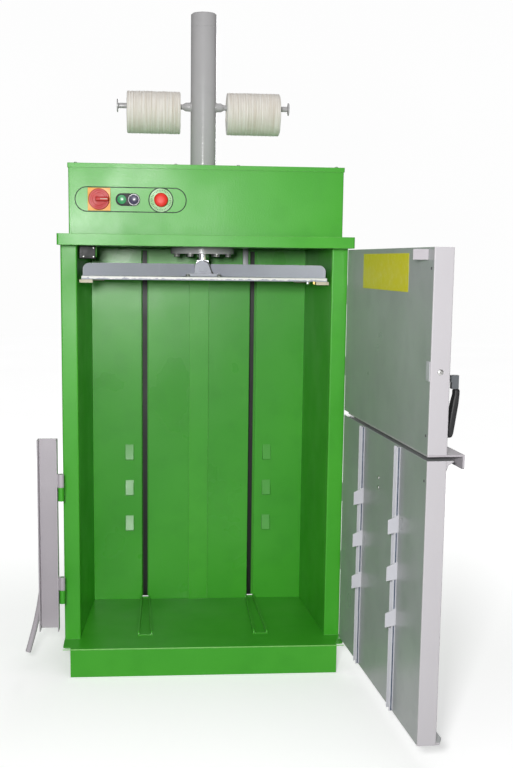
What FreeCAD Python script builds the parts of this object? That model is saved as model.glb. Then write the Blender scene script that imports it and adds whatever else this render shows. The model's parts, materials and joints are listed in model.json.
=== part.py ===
"""A small upright recycling baler, as a parametric document in millimetres.

The frame has +X to the right of someone facing the loading doors, +Y towards
the back wall and +Z up.  The origin is on the floor, on the machine's centre
plane, in line with the front of the base.
"""

import FreeCAD, Part

import math
import os
import re

import Sketcher

# Driving dimensions, one cell each.
SIZES = {
    # Body: posts, walls, floor and base
    "body_width": 794,
    "post_width": 45,
    "post_face": 88,
    "post_outer_return": 60,
    "post_inner_return": 24,
    "chamber_back": 480,
    "chamber_lean": 22,
    "chamber_top": 1198,
    "floor_top": 82,
    "steel": 3,
    "wing_overhang": 1,
    "wing_setback": 15,
    "wing_radius": 12,
    "base_inset": 20.5,
    "base_flange": 30,
    "wall_flange": 50,
    "rib_height": 50,
    "slot_offset": 168,
    "slot_width": 20,
    "slot_end": 8,
    "strap_channel_width": 50,
    "strap_channel_depth": 40,
    "beam_height": 60,
    "beam_depth": 35,
    "strip_width": 60,
    "strip_depth": 5,
    "guide_height": 12,
    "guide_rib": 5,
    "guide_back_gap": 18,
    "guide_front_gap": 33,
    "guide_front": 110,
    # Pan under the head, head box and lid
    "pan_overhang": 3,
    "pan_height": 30,
    "pan_corner": 5,
    "head_inset": 29,
    "head_setback": 22,
    "head_back_inset": 43,
    "head_height": 185,
    "head_sheet": 1.8,
    "lid_edge": 12,
    "lid_gap": 0.3,
    "hole_gap": 1.5,
    "lid_screw": 5,
    "lid_screw_side": 21,
    "lid_screw_middle": 84,
    "lid_screw_inset": 14,
    # Controls on the fascia
    "control_rise": 91,
    "switch_place": 288,
    "switch_plate_side": 60,
    "switch_plate_depth": 3,
    "switch_knob_size": 56,
    "switch_knob_depth": 7,
    "switch_grip_width": 13,
    "switch_grip_depth": 15,
    "start_place": 228,
    "stop_place": 196,
    "button_cap": 24,
    "button_bezel_depth": 6,
    "button_rim": 4.5,
    "button_stroke": 4,
    "button_rise": 3,
    "estop_place": 124,
    "estop_plate_size": 65,
    "estop_plate_depth": 2,
    "estop_head": 37,
    "estop_head_depth": 15,
    "estop_rise": 9,
    "stem_size": 10,
    "panel_hole": 22.5,
    "contact_width": 28,
    "contact_depth": 42,
    "contact_height": 46,
    "running_gap": 0.05,
    # Cylinder and platen
    "cylinder_back": 205,
    "tube_size": 73,
    "tube_wall": 6,
    "tube_rise": 437,
    "cap_height": 38,
    "cap_edge": 3,
    "flange_size": 185,
    "flange_depth": 18,
    "flange_bolt_circle": 150,
    "flange_bolt": 10,
    "rod_size": 38,
    "piston_height": 40,
    "piston_top_gap": 12,
    "platen_drop": 92,
    "platen_depth": 10,
    "platen_front": 100,
    "platen_back_gap": 9,
    "platen_side_gap": 11,
    "platen_edge": 2,
    "rib_rise": 35,
    "rib_thickness": 13,
    "rib_corner": 17,
    "hub_size": 96,
    "hub_depth": 8,
    "clevis_width": 48,
    "clevis_rise": 46,
    "clevis_ear": 10,
    "clevis_gap": 24,
    "clevis_pin": 14,
    "pad_gap": 3,
    "pad_width": 36,
    "pad_length": 34,
    "pad_depth": 9,
    # Hydraulic power pack inside the head
    "port_drop": 66,
    "port_size": 26,
    "port_length": 14,
    "pipe_size": 12,
    "pipe_standoff": 40,
    "valve_width": 90,
    "valve_depth": 60,
    "valve_height": 90,
    "tank_left": 78,
    "tank_width": 262,
    "tank_front": 90,
    "tank_depth": 310,
    "tank_height": 120,
    "tank_wall": 2,
    "motor_size": 124,
    "motor_length": 180,
    "motor_left": 325,
    "motor_foot": 14,
    "pump_size": 80,
    "pump_length": 52,
    "hose_size": 16,
    "box_left": 350,
    "box_width": 180,
    "box_depth": 80,
    "box_height": 180,
    "box_back_gap": 6,
    "gland_size": 24,
    "gland_place": 260,
    # Twine spools on the cylinder
    "spool_drop": 256,
    "spool_pin_size": 15,
    "spool_pin_reach": 246,
    "spool_collar": 25,
    "spool_collar_reach": 56,
    "spool_disc": 37,
    "spool_disc_depth": 5,
    "spool_start": 66,
    "spool_length": 152,
    "spool_size": 119,
    "spool_bore": 50,
    "spool_rest_gap": 0.3,
    # Doors, in the closed position measured from the hinge axis
    "hinge_out": 5.5,
    "hinge_front": 75,
    "door_open": 93.7,
    "door_inner": 10.5,
    "door_thickness": 44,
    "door_skin": 2,
    "door_hinge_edge": 12,
    "free_edge_gap": 9.5,
    "door_top_gap": 3,
    "door_bottom_gap": 4,
    "split_rise": 658.5,
    "rail_depth": 4,
    "rail_reach": 40,
    "rail_drop": 32,
    "rail_gap": 9,
    "rail_end": 62,
    "lip_rise": 22,
    "lip_reach": 16,
    "door_drain": 8,
    "hinge_pin": 10,
    "hinge_barrel": 18,
    "hinge_length": 26,
    "hinge_play": 0.5,
    "hinge_leaf": 5,
    "hinge_step": 200,
    "tab_reach": 34,
    "tab_height": 23,
    "tab_inset": 47,
    "handle_rise": 162.5,
    "handle_inset": 45,
    "handle_reach": 33,
    "handle_arm": 15,
    "handle_drop": 30,
    "grip_length": 108,
    "grip_width": 24,
    "grip_thickness": 22,
    "grip_lean": 7,
    "latch_length": 34,
    "latch_gap": 5,
    "strap_guide_width": 26,
    "strap_guide_rise": 9,
    "strap_guide_steel": 2.5,
    "claw_drop": 167.5,
    "claw_step": 114,
    "claw_height": 46,
    "claw_slope": 12,
    "claw_reach": 26,
    "claw_steel": 4,
    "foot_width": 100,
    "foot_reach": 20,
    "foot_depth": 6,
    # Closing bar on the left post
    "bar_hinge_out": 1,
    "bar_hinge_front": 24,
    "bar_gap": 10,
    "bar_width": 54,
    "bar_front": 14,
    "bar_depth": 42,
    "bar_steel": 3,
    "bar_foot": 47,
    "bar_head": 70.5,
    "bar_barrel": 16,
    "bar_pin": 9,
    "bar_hinge_inset": 117,
    "bar_hinge_drop": 132,
    "bar_hinge_length": 38,
    "bar_handle_size": 16,
    # Door switch under the pan
    "door_switch_width": 46,
    "door_switch_height": 36,
    "door_switch_depth": 36,
    "door_switch_gap": 2,
    "plunger_size": 8,
    "plunger_rise": 6,
}

HALF_BODY = "(body_width / 2)"
CYLINDER = "(chamber_back - cylinder_back)"
HALF_CHAMBER = "(body_width / 2 - post_width)"
HALF_PAN = "(body_width / 2 + pan_overhang)"
HALF_HEAD = f"({HALF_PAN} - head_inset)"
HALF_HEAD_BOX = f"({HALF_HEAD} - head_sheet - lid_gap)"
HALF_BASE = f"({HALF_BODY} - base_inset)"
WALL_FRONT = "(post_face + post_inner_return)"
BODY_BACK = "(chamber_back + steel)"
PAN_FLOOR = "(chamber_top + steel)"
PAN_TOP = "(chamber_top + pan_height)"
HEAD_TOP = f"({PAN_TOP} + head_height)"
HEAD_BACK = f"({BODY_BACK} - head_back_inset)"
CONTROLS = f"({PAN_TOP} + control_rise)"
TUBE_TOP = f"({HEAD_TOP} + tube_rise)"
PORT_HEIGHT = f"({TUBE_TOP} - port_drop)"
SPOOL_HEIGHT = f"({TUBE_TOP} - spool_drop)"
FASCIA = "(head_setback + head_sheet + lid_gap)"
FASCIA_BACK = f"({FASCIA} + head_sheet)"
TUBE_BACK = f"({CYLINDER} + tube_size / 2)"
FLANGE_BOTTOM = "(chamber_top - flange_depth)"
PLATEN_BOTTOM = "(chamber_top - platen_drop)"
PLATEN_TOP = f"({PLATEN_BOTTOM} + platen_depth)"
PLATEN_BACK = "(chamber_back - strip_depth - platen_back_gap)"
SPOOL_AXIS = f"({SPOOL_HEIGHT} - spool_bore / 2 + spool_pin_size / 2 + spool_rest_gap)"
HINGE_SIDE = f"({HALF_BODY} + hinge_out)"
FREE_EDGE = f"({HINGE_SIDE} + {HALF_BODY} - free_edge_gap)"
HANDLE_PLACE = f"({FREE_EDGE} - handle_inset)"
BAR_HINGE_SIDE = f"({HALF_BODY} + bar_hinge_out)"
DOOR_OUTER = "(door_inner - door_thickness)"
UPPER_TOP = "(chamber_top - door_top_gap)"
DOOR_SPLIT = "(floor_top + split_rise)"
UPPER_BOTTOM = f"({DOOR_SPLIT} + rail_gap)"
HANDLE_HEIGHT = f"({UPPER_BOTTOM} + handle_rise)"
CLAW_TOP = f"({DOOR_SPLIT} - claw_drop)"
BAR_BOTTOM = "(floor_top + bar_foot)"
BAR_TOP = f"({DOOR_SPLIT} - bar_head)"
BAR_HINGES = (f"({BAR_BOTTOM} + bar_hinge_inset)", f"({BAR_TOP} - bar_hinge_drop)")
LOWER_TOP = f"({DOOR_SPLIT} - rail_depth)"
LOWER_BOTTOM = "(floor_top + door_bottom_gap)"
PUMP_HEIGHT = f"({PAN_FLOOR} + motor_foot + motor_size / 2)"

SIDE_NAMES = {-1: "left", 1: "right"}

document = FreeCAD.newDocument("recycling_baler")
sheet = document.addObject("Spreadsheet::Sheet", "Size")
for row, (alias, size) in enumerate(SIZES.items(), start=1):
    sheet.set(f"A{row}", alias.replace("_", " "))
    sheet.set(f"B{row}", str(size))
    sheet.setAlias(f"B{row}", alias)
document.recompute()

sub_parts = []


def cells(text):
    """Put the sheet's name before each alias in an expression."""
    def named(word):
        return f"Size.{word[0]}" if word[0] in SIZES else word[0]
    return re.sub(r"[a-z_]+", named, str(text))


def value(text):
    """The number that an expression over the sheet gives."""
    return float(sheet.evalExpression(cells(text)))


def bind(target, **expressions):
    """Bind properties of an object to expressions over the sheet."""
    for path, text in expressions.items():
        target.setExpression(path.replace("__", "."), cells(text))


def move(target, x="0", y="0", z="0"):
    """Bind an object's place."""
    bind(target, Placement__Base__x=x, Placement__Base__y=y, Placement__Base__z=z)


def turn_axis(target, axis):
    """Turn an object so that its own Z axis points along X, Y or Z."""
    turns = {"X": ((0, 1, 0), 90), "Y": ((1, 0, 0), -90), "Z": ((0, 0, 1), 0)}
    direction, degrees = turns[axis]
    target.Placement.Rotation = FreeCAD.Rotation(FreeCAD.Vector(*direction), degrees)


class Piece:
    """One sub-part: a PartDesign body whose features follow the sheet."""

    PLANES = {"XY": "XY_Plane", "XZ": "XZ_Plane", "YZ": "YZ_Plane"}

    def __init__(self, label):
        self.body = document.addObject("PartDesign::Body", label)
        self.body.Label = label
        self.count = 0
        sub_parts.append(self.body)

    def _name(self, word):
        self.count += 1
        return f"{self.body.Name}_{word}{self.count}"

    def block(self, x, y, z, cut=False):
        """Add or cut a box between two expressions on each axis."""
        kind = "PartDesign::SubtractiveBox" if cut else "PartDesign::AdditiveBox"
        box = self.body.newObject(kind, self._name("block"))
        bind(box, Length=f"({x[1]}) - ({x[0]})", Width=f"({y[1]}) - ({y[0]})", Height=f"({z[1]}) - ({z[0]})")
        move(box, x[0], y[0], z[0])
        return self

    def drum(self, radius, span, centre=("0", "0"), axis="Z", cut=False):
        """Add or cut a cylinder along an axis, centred on the other two."""
        kind = "PartDesign::SubtractiveCylinder" if cut else "PartDesign::AdditiveCylinder"
        drum = self.body.newObject(kind, self._name("drum"))
        turn_axis(drum, axis)
        bind(drum, Radius=radius, Height=f"({span[1]}) - ({span[0]})")
        places = {"X": (span[0], *centre), "Y": (centre[0], span[0], centre[1]), "Z": (*centre, span[0])}
        move(drum, *places[axis])
        return self

    def sketch(self, plane, corners, offset="0"):
        """Draw a closed outline with each corner pinned to two expressions."""
        sketch = self.body.newObject("Sketcher::SketchObject", self._name("outline"))
        roles = {item.Role: item for item in self.body.Origin.OriginFeatures}
        sketch.AttachmentSupport = [(roles[self.PLANES[plane]], "")]
        sketch.MapMode = "FlatFace"
        sketch.setExpression("AttachmentOffset.Base.z", cells(offset))
        points = [FreeCAD.Vector(value(u), value(v), 0) for u, v in corners]
        last = len(points) - 1
        for index, point in enumerate(points):
            following = points[0 if index == last else index + 1]
            sketch.addGeometry(Part.LineSegment(point, following))
        for index, (u, v) in enumerate(corners):
            following = 0 if index == last else index + 1
            sketch.addConstraint(Sketcher.Constraint("Coincident", index, 2, following, 1))
            for kind, text, place in (("DistanceX", u, points[index].x), ("DistanceY", v, points[index].y)):
                made = sketch.addConstraint(Sketcher.Constraint(kind, -1, 1, index, 1, place))
                sketch.renameConstraint(made, f"{kind}_{index}")
                sketch.setExpression(f"Constraints.{kind}_{index}", cells(text))
        return sketch

    def extrude(self, plane, corners, span, cut=False):
        """Pad or pocket an outline between two stations of its plane's normal."""
        # The XZ plane's normal points to -Y, so its stations are counted backwards.
        start = f"-({span[1]})" if plane == "XZ" else span[0]
        sketch = self.sketch(plane, corners, start)
        kind = "PartDesign::Pocket" if cut else "PartDesign::Pad"
        pad = self.body.newObject(kind, self._name("pad"))
        pad.Profile = sketch
        pad.Reversed = bool(cut)
        bind(pad, Length=f"({span[1]}) - ({span[0]})")
        return self

    def revolve(self, corners, cut=False):
        """Turn an outline of (radius, height) corners about the body's Z axis."""
        sketch = self.sketch("XZ", corners)
        kind = "PartDesign::Groove" if cut else "PartDesign::Revolution"
        turned = self.body.newObject(kind, self._name("turned"))
        turned.Profile = sketch
        turned.ReferenceAxis = (sketch, ["V_Axis"])
        turned.Angle = 360
        return self

    def round(self, radius, chosen):
        """Fillet the edges of the solid so far whose centre and ends are chosen."""
        document.recompute()
        tip = self.body.Tip
        names = []
        for index, edge in enumerate(tip.Shape.Edges, start=1):
            ends = [vertex.Point for vertex in edge.Vertexes]
            if chosen(edge.CenterOfMass, ends[-1] - ends[0]):
                names.append(f"Edge{index}")
        if not names:
            raise RuntimeError(f"no edge to round on {self.body.Label}")
        fillet = self.body.newObject("PartDesign::Fillet", self._name("round"))
        fillet.Base = (tip, names)
        bind(fillet, Radius=radius)
        self.body.Tip = fillet
        return self

    def at(self, x="0", y="0", z="0", axis="Z"):
        """Place the finished body."""
        turn_axis(self.body, axis)
        move(self.body, x, y, z)
        return self

    def on_door(self):
        """Place a body drawn from the hinge axis in the doors' open position."""
        move(self.body, HINGE_SIDE, "hinge_front")
        bind(self.body, Placement__Rotation__Angle="door_open")
        return self


def upright(centre, along):
    """True for an edge that runs along Z."""
    return abs(along.z) > 1 and math.hypot(along.x, along.y) < 1e-6


def near(number, text):
    """True where a coordinate lies on the station that an expression gives."""
    return abs(number - value(text)) < 1e-3


def mirrored(side, text):
    """The same station on the right (side 1) or left (side -1) of the machine."""
    return f"{side} * ({text})"


def span_of(side, low, high):
    """A pair of mirrored stations in rising order."""
    pair = (mirrored(side, low), mirrored(side, high))
    return pair if side > 0 else pair[::-1]


def group(label, solids):
    """One node that holds several separate solids of the same kind."""
    holder = document.addObject("Part::Compound", label)
    holder.Label = label
    for piece in solids:
        sub_parts.remove(piece.body)
    holder.Links = [piece.body for piece in solids]
    sub_parts.append(holder)


def swept(label, routes, diameter):
    """Round bar or hose along straight runs joined by tangent arcs.

    Each route is a list of (x, y, z) points, and the bend at a point is as
    wide as the shorter of its two runs allows.
    """
    radius = value(diameter) / 2
    solids = []
    for route in routes:
        points = [FreeCAD.Vector(*place) for place in route]
        edges = []
        start = points[0]
        for before, corner, after in zip(points, points[1:], points[2:]):
            inward = (before - corner).normalize()
            outward = (after - corner).normalize()
            reach = 0.45 * min((corner - before).Length, (after - corner).Length)
            turned = math.pi - inward.getAngle(outward)
            bend = reach / math.tan(turned / 2)
            middle = (inward + outward).normalize()
            centre = corner + middle * math.hypot(bend, reach)
            entry = corner + inward * reach
            leave = corner + outward * reach
            edges.append(Part.LineSegment(start, entry).toShape())
            edges.append(Part.Arc(entry, centre - middle * bend, leave).toShape())
            start = leave
        edges.append(Part.LineSegment(start, points[-1]).toShape())
        path = Part.Wire(edges)
        section = Part.Wire(Part.makeCircle(radius, points[0], points[1] - points[0]))
        solids.append(path.makePipeShell([section], True, True))
    made = document.addObject("Part::Feature", label)
    made.Label = label
    made.Shape = solids[0] if len(solids) == 1 else Part.makeCompound(solids)
    sub_parts.append(made)
    return made


def base():
    """Box of folded sheet under the floor, and the floor plate with its wings."""
    skirt = Piece("base_skirt")
    under_floor = "(floor_top - steel)"
    skirt.block((f"-{HALF_BASE}", HALF_BASE), ("0", BODY_BACK), ("0", under_floor))
    inner_x = (f"-{HALF_BASE} + steel", f"{HALF_BASE} - steel")
    skirt.block(inner_x, ("steel", f"{BODY_BACK} - steel"), ("steel", under_floor), cut=True)
    hole_x = (f"-{HALF_BASE} + base_flange", f"{HALF_BASE} - base_flange")
    skirt.block(hole_x, ("base_flange", f"{BODY_BACK} - base_flange"), ("0", "steel"), cut=True)

    wing = f"({HALF_BODY} + wing_overhang)"
    floor = Piece("floor_plate")
    outline = [
        (f"-{HALF_BASE}", "0"), (HALF_BASE, "0"), (HALF_BASE, "wing_setback"), (wing, "wing_setback"),
        (wing, BODY_BACK), (f"-{wing}", BODY_BACK), (f"-{wing}", "wing_setback"), (f"-{HALF_BASE}", "wing_setback"),
    ]
    floor.extrude("XY", outline, (under_floor, "floor_top"))
    floor.round("wing_radius", lambda centre, along: upright(centre, along)
                and near(centre.y, "wing_setback") and near(abs(centre.x), wing))


def floor_guides():
    """A pair of low strap guides on the floor, wider apart at the front."""
    guides = []
    top = "(floor_top + guide_height)"
    for side in (-1, 1):
        guide = Piece(f"floor_guide_{SIDE_NAMES[side]}")
        back_low = mirrored(side, "slot_offset - guide_back_gap / 2 - guide_rib")
        back_high = mirrored(side, "slot_offset + guide_back_gap / 2 + guide_rib")
        front_low = mirrored(side, "slot_offset - guide_front_gap / 2 - guide_rib")
        front_high = mirrored(side, "slot_offset + guide_front_gap / 2 + guide_rib")
        outline = [(front_low, "guide_front"), (front_high, "guide_front"),
                   (back_high, "chamber_back"), (back_low, "chamber_back")]
        guide.extrude("XY", outline, ("floor_top", top))
        slot = [(mirrored(side, "slot_offset - guide_front_gap / 2"), "guide_front"),
                (mirrored(side, "slot_offset + guide_front_gap / 2"), "guide_front"),
                (mirrored(side, "slot_offset + guide_back_gap / 2"), "chamber_back"),
                (mirrored(side, "slot_offset - guide_back_gap / 2"), "chamber_back")]
        guide.extrude("XY", slot, ("floor_top + steel", top), cut=True)
        guide.round("guide_height - steel", lambda centre, along: near(centre.y, "guide_front")
                    and near(centre.z, top))
        guides.append(guide)
    group("floor_guides", guides)


def wall_outer(y):
    """Outer face of a leaning side wall at a depth, as an expression."""
    length = f"(chamber_back - steel - {WALL_FRONT})"
    return f"({HALF_CHAMBER} + steel - chamber_lean * (({y}) - {WALL_FRONT}) / {length})"


def side_frames():
    """Folded posts, leaning side walls and the ribs that stiffen them."""
    names = {-1: "left", 1: "right"}
    ribs = []
    for side, name in names.items():
        post = Piece(f"{name}_post")
        post_back = "(post_face + post_outer_return)"
        outline = [
            (HALF_BODY, post_back), (HALF_BODY, "post_face"), (HALF_CHAMBER, "post_face"),
            (HALF_CHAMBER, WALL_FRONT), (f"{HALF_CHAMBER} + steel", WALL_FRONT),
            (f"{HALF_CHAMBER} + steel", "post_face + steel"), (f"{HALF_BODY} - steel", "post_face + steel"),
            (f"{HALF_BODY} - steel", post_back),
        ]
        outline = [(mirrored(side, x), y) for x, y in outline]
        post.extrude("XY", outline, ("floor_top", "chamber_top"))
        post.round("steel + 1", lambda centre, along: upright(centre, along) and near(centre.y, "post_face"))

        wall = Piece(f"{name}_side_wall")
        wall_back = "(chamber_back - steel)"
        flange = f"({HALF_CHAMBER} - chamber_lean + wall_flange)"
        outline = [
            (HALF_CHAMBER, WALL_FRONT), (f"{HALF_CHAMBER} + steel", WALL_FRONT),
            (f"{HALF_CHAMBER} + steel - chamber_lean", wall_back), (flange, wall_back),
            (flange, "chamber_back"), (f"{HALF_CHAMBER} - chamber_lean", "chamber_back"),
        ]
        outline = [(mirrored(side, x), y) for x, y in outline]
        wall.extrude("XY", outline, ("floor_top", "chamber_top"))

        for third in (1, 2, 3):
            middle = f"(floor_top + (chamber_top - floor_top) * {third} / 4)"
            low, high = f"({middle} - rib_height / 2)", f"({middle} + rib_height / 2)"
            rib = Piece(f"{name}_rib_{third}")
            front, back = post_back, wall_back
            outer_front, outer_back = f"({HALF_BODY} - steel)", flange
            outline = [(wall_outer(front), front), (outer_front, front), (outer_back, back), (wall_outer(back), back)]
            outline = [(mirrored(side, x), y) for x, y in outline]
            rib.extrude("XY", outline, (low, high))
            hollow = [(wall_outer(front), f"{front} + steel"), (f"{outer_front} - steel", f"{front} + steel"),
                      (f"{outer_back} - steel", f"{back} - steel"), (wall_outer(back), f"{back} - steel")]
            hollow = [(mirrored(side, x), y) for x, y in hollow]
            rib.extrude("XY", hollow, (f"{low} + steel", f"{high} - steel"), cut=True)
            ribs.append(rib)
    group("side_ribs", ribs)


def back_frame():
    """Back wall with two strap slots, the channels behind them and the beams between."""
    wall = Piece("back_wall")
    half_wall = f"({HALF_CHAMBER} - chamber_lean + wall_flange)"
    wall.block((f"-{half_wall}", half_wall), ("chamber_back", BODY_BACK), ("floor_top", "chamber_top"))
    for side in (-1, 1):
        slot = span_of(side, "slot_offset - slot_width / 2", "slot_offset + slot_width / 2")
        height = ("floor_top + slot_end", "chamber_top - slot_end")
        wall.block(slot, ("chamber_back", BODY_BACK), height, cut=True)
        for row in (0, 1, 2):
            top = f"({CLAW_TOP} + claw_slope - claw_step * {row})"
            barb = [("chamber_back", top), ("chamber_back", f"{top} - claw_height"),
                    ("chamber_back - claw_slope", f"{top} - claw_height")]
            start = "slot_offset + slot_width / 2 + claw_reach"
            wall.extrude("YZ", barb, span_of(side, start, f"{start} + claw_reach"))

    strip = Piece("centre_strip")
    half = "(strip_width / 2)"
    front = "(chamber_back - strip_depth)"
    strip.block((f"-{half}", half), (front, "chamber_back"), ("floor_top", "chamber_top"))
    inside = (f"-{half} + steel", f"{half} - steel")
    strip.block(inside, (f"{front} + steel / 2", "chamber_back"), ("floor_top", "chamber_top"), cut=True)

    channels = []
    for side in (-1, 1):
        channel = Piece(f"strap_channel_{SIDE_NAMES[side]}")
        half = "(strap_channel_width / 2)"
        depth = (BODY_BACK, f"{BODY_BACK} + strap_channel_depth")
        outer = span_of(side, f"slot_offset - {half}", f"slot_offset + {half}")
        inner = span_of(side, f"slot_offset - {half} + steel", f"slot_offset + {half} - steel")
        channel.block(outer, depth, ("floor_top", "chamber_top"))
        channel.block(inner, (depth[0], f"{depth[1]} - steel"), ("floor_top", "chamber_top"), cut=True)
        channels.append(channel)
    group("strap_channels", channels)

    beams = []
    reach = "(slot_offset - strap_channel_width / 2)"
    for row in (0, 1, 2):
        middle = f"(floor_top + (chamber_top - floor_top) * (1 + 3 * {row}) / 8)"
        low, high = f"({middle} - beam_height / 2)", f"({middle} + beam_height / 2)"
        beam = Piece(f"back_beam_{row}")
        beam.block((f"-{reach}", reach), (BODY_BACK, f"{BODY_BACK} + beam_depth"), (low, high))
        hollow = (BODY_BACK, f"{BODY_BACK} + beam_depth - steel")
        beam.block((f"-{reach}", reach), hollow, (f"{low} + steel", f"{high} - steel"), cut=True)
        beams.append(beam)
    group("back_beams", beams)


def head():
    """Pan over the chamber, folded head box, its lid and the lid's screws."""
    tube_hole = "(tube_size / 2 + hole_gap)"
    centre = ("0", CYLINDER)
    pan = Piece("head_pan")
    pan.block((f"-{HALF_PAN}", HALF_PAN), ("0", BODY_BACK), ("chamber_top", PAN_TOP))
    pan.round("pan_corner", upright)
    inner = (f"-{HALF_PAN} + steel", f"{HALF_PAN} - steel")
    pan.block(inner, ("steel", f"{BODY_BACK} - steel"), (PAN_FLOOR, PAN_TOP), cut=True)
    pan.drum(tube_hole, ("chamber_top", PAN_FLOOR), centre, cut=True)
    for place in flange_bolt_places():
        pan.drum("flange_bolt / 2 + lid_gap", ("chamber_top", PAN_FLOOR), place, cut=True)

    box_back = f"({HEAD_BACK} - head_sheet - lid_gap)"
    box_top = f"({HEAD_TOP} - head_sheet)"
    box = Piece("head_box")
    box.block((f"-{HALF_HEAD_BOX}", HALF_HEAD_BOX), (FASCIA, box_back), (PAN_FLOOR, box_top))
    box.round("pan_corner / 2", upright)
    inner = (f"-{HALF_HEAD_BOX} + head_sheet", f"{HALF_HEAD_BOX} - head_sheet")
    box.block(inner, (FASCIA_BACK, f"{box_back} - head_sheet"), (PAN_FLOOR, box_top), cut=True)
    for place in ("switch_place", "start_place", "stop_place", "estop_place"):
        box.drum("panel_hole / 2", (FASCIA, FASCIA_BACK), (f"-{place}", CONTROLS), axis="Y", cut=True)
    gland = ("-gland_place", f"{PAN_TOP} + head_height / 4")
    box.drum("gland_size / 2 + lid_gap", (f"{box_back} - head_sheet", box_back), gland, axis="Y", cut=True)
    for slot in range(6):
        low = f"{PAN_TOP} + head_height / 2 + {slot} * gland_size / 2"
        vents = ("tank_left", "tank_left + tank_width / 2")
        box.block(vents, (f"{box_back} - head_sheet", box_back), (low, f"{low} + gland_size / 5"), cut=True)

    lid = Piece("head_lid")
    lid.block((f"-{HALF_HEAD}", HALF_HEAD), ("head_setback", HEAD_BACK), (f"{HEAD_TOP} - lid_edge", HEAD_TOP))
    lid.round("pan_corner / 2", upright)
    inner = (f"-{HALF_HEAD} + head_sheet", f"{HALF_HEAD} - head_sheet")
    depth = ("head_setback + head_sheet", f"{HEAD_BACK} - head_sheet")
    lid.block(inner, depth, (f"{HEAD_TOP} - lid_edge", box_top), cut=True)
    lid.drum(tube_hole, (box_top, HEAD_TOP), centre, cut=True)
    pipe_hole = f"{TUBE_BACK} + pipe_standoff"
    lid.drum("pipe_size / 2 + hole_gap", (box_top, HEAD_TOP), ("0", pipe_hole), cut=True)
    screws = []
    for place in ("lid_screw_middle", f"({HALF_HEAD} - lid_screw_side)"):
        for side in (-1, 1):
            for y in ("(head_setback + lid_screw_inset)", f"({HEAD_BACK} - lid_screw_inset)"):
                x = mirrored(side, place)
                lid.drum("lid_screw / 2 + lid_gap", (box_top, HEAD_TOP), (x, y), cut=True)
                screws.append((x, y))
    bolts("lid_screws", screws, "lid_screw", "lid_screw / 2", HEAD_TOP, "lid_screw * 1.6", up=True)


def flange_bolt_places():
    """Centres of the six bolts spaced evenly on the cylinder flange's bolt circle."""
    places = []
    for bolt in range(6):
        angle = math.radians(60 * bolt)
        x = f"(flange_bolt_circle / 2 * {math.cos(angle):.6f})"
        y = f"({CYLINDER} + flange_bolt_circle / 2 * {math.sin(angle):.6f})"
        places.append((x, y))
    return places


def bolts(label, places, size, head_rise, seat, length, up):
    """Screws at a list of places: a round head on a seat and a shank through it."""
    solids = []
    way = "" if up else "-"
    for index, (x, y) in enumerate(places):
        screw = Piece(f"{label}_{index}")
        head_ends = (seat, f"{seat} + {head_rise}") if up else (f"{seat} - {head_rise}", seat)
        shank_ends = (f"{seat} - {length}", seat) if up else (seat, f"{seat} + {length}")
        screw.drum(f"{size} * 0.9", head_ends, (x, y))
        screw.drum(f"{size} / 2", shank_ends, (x, y))
        solids.append(screw)
    group(label, solids)


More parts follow.
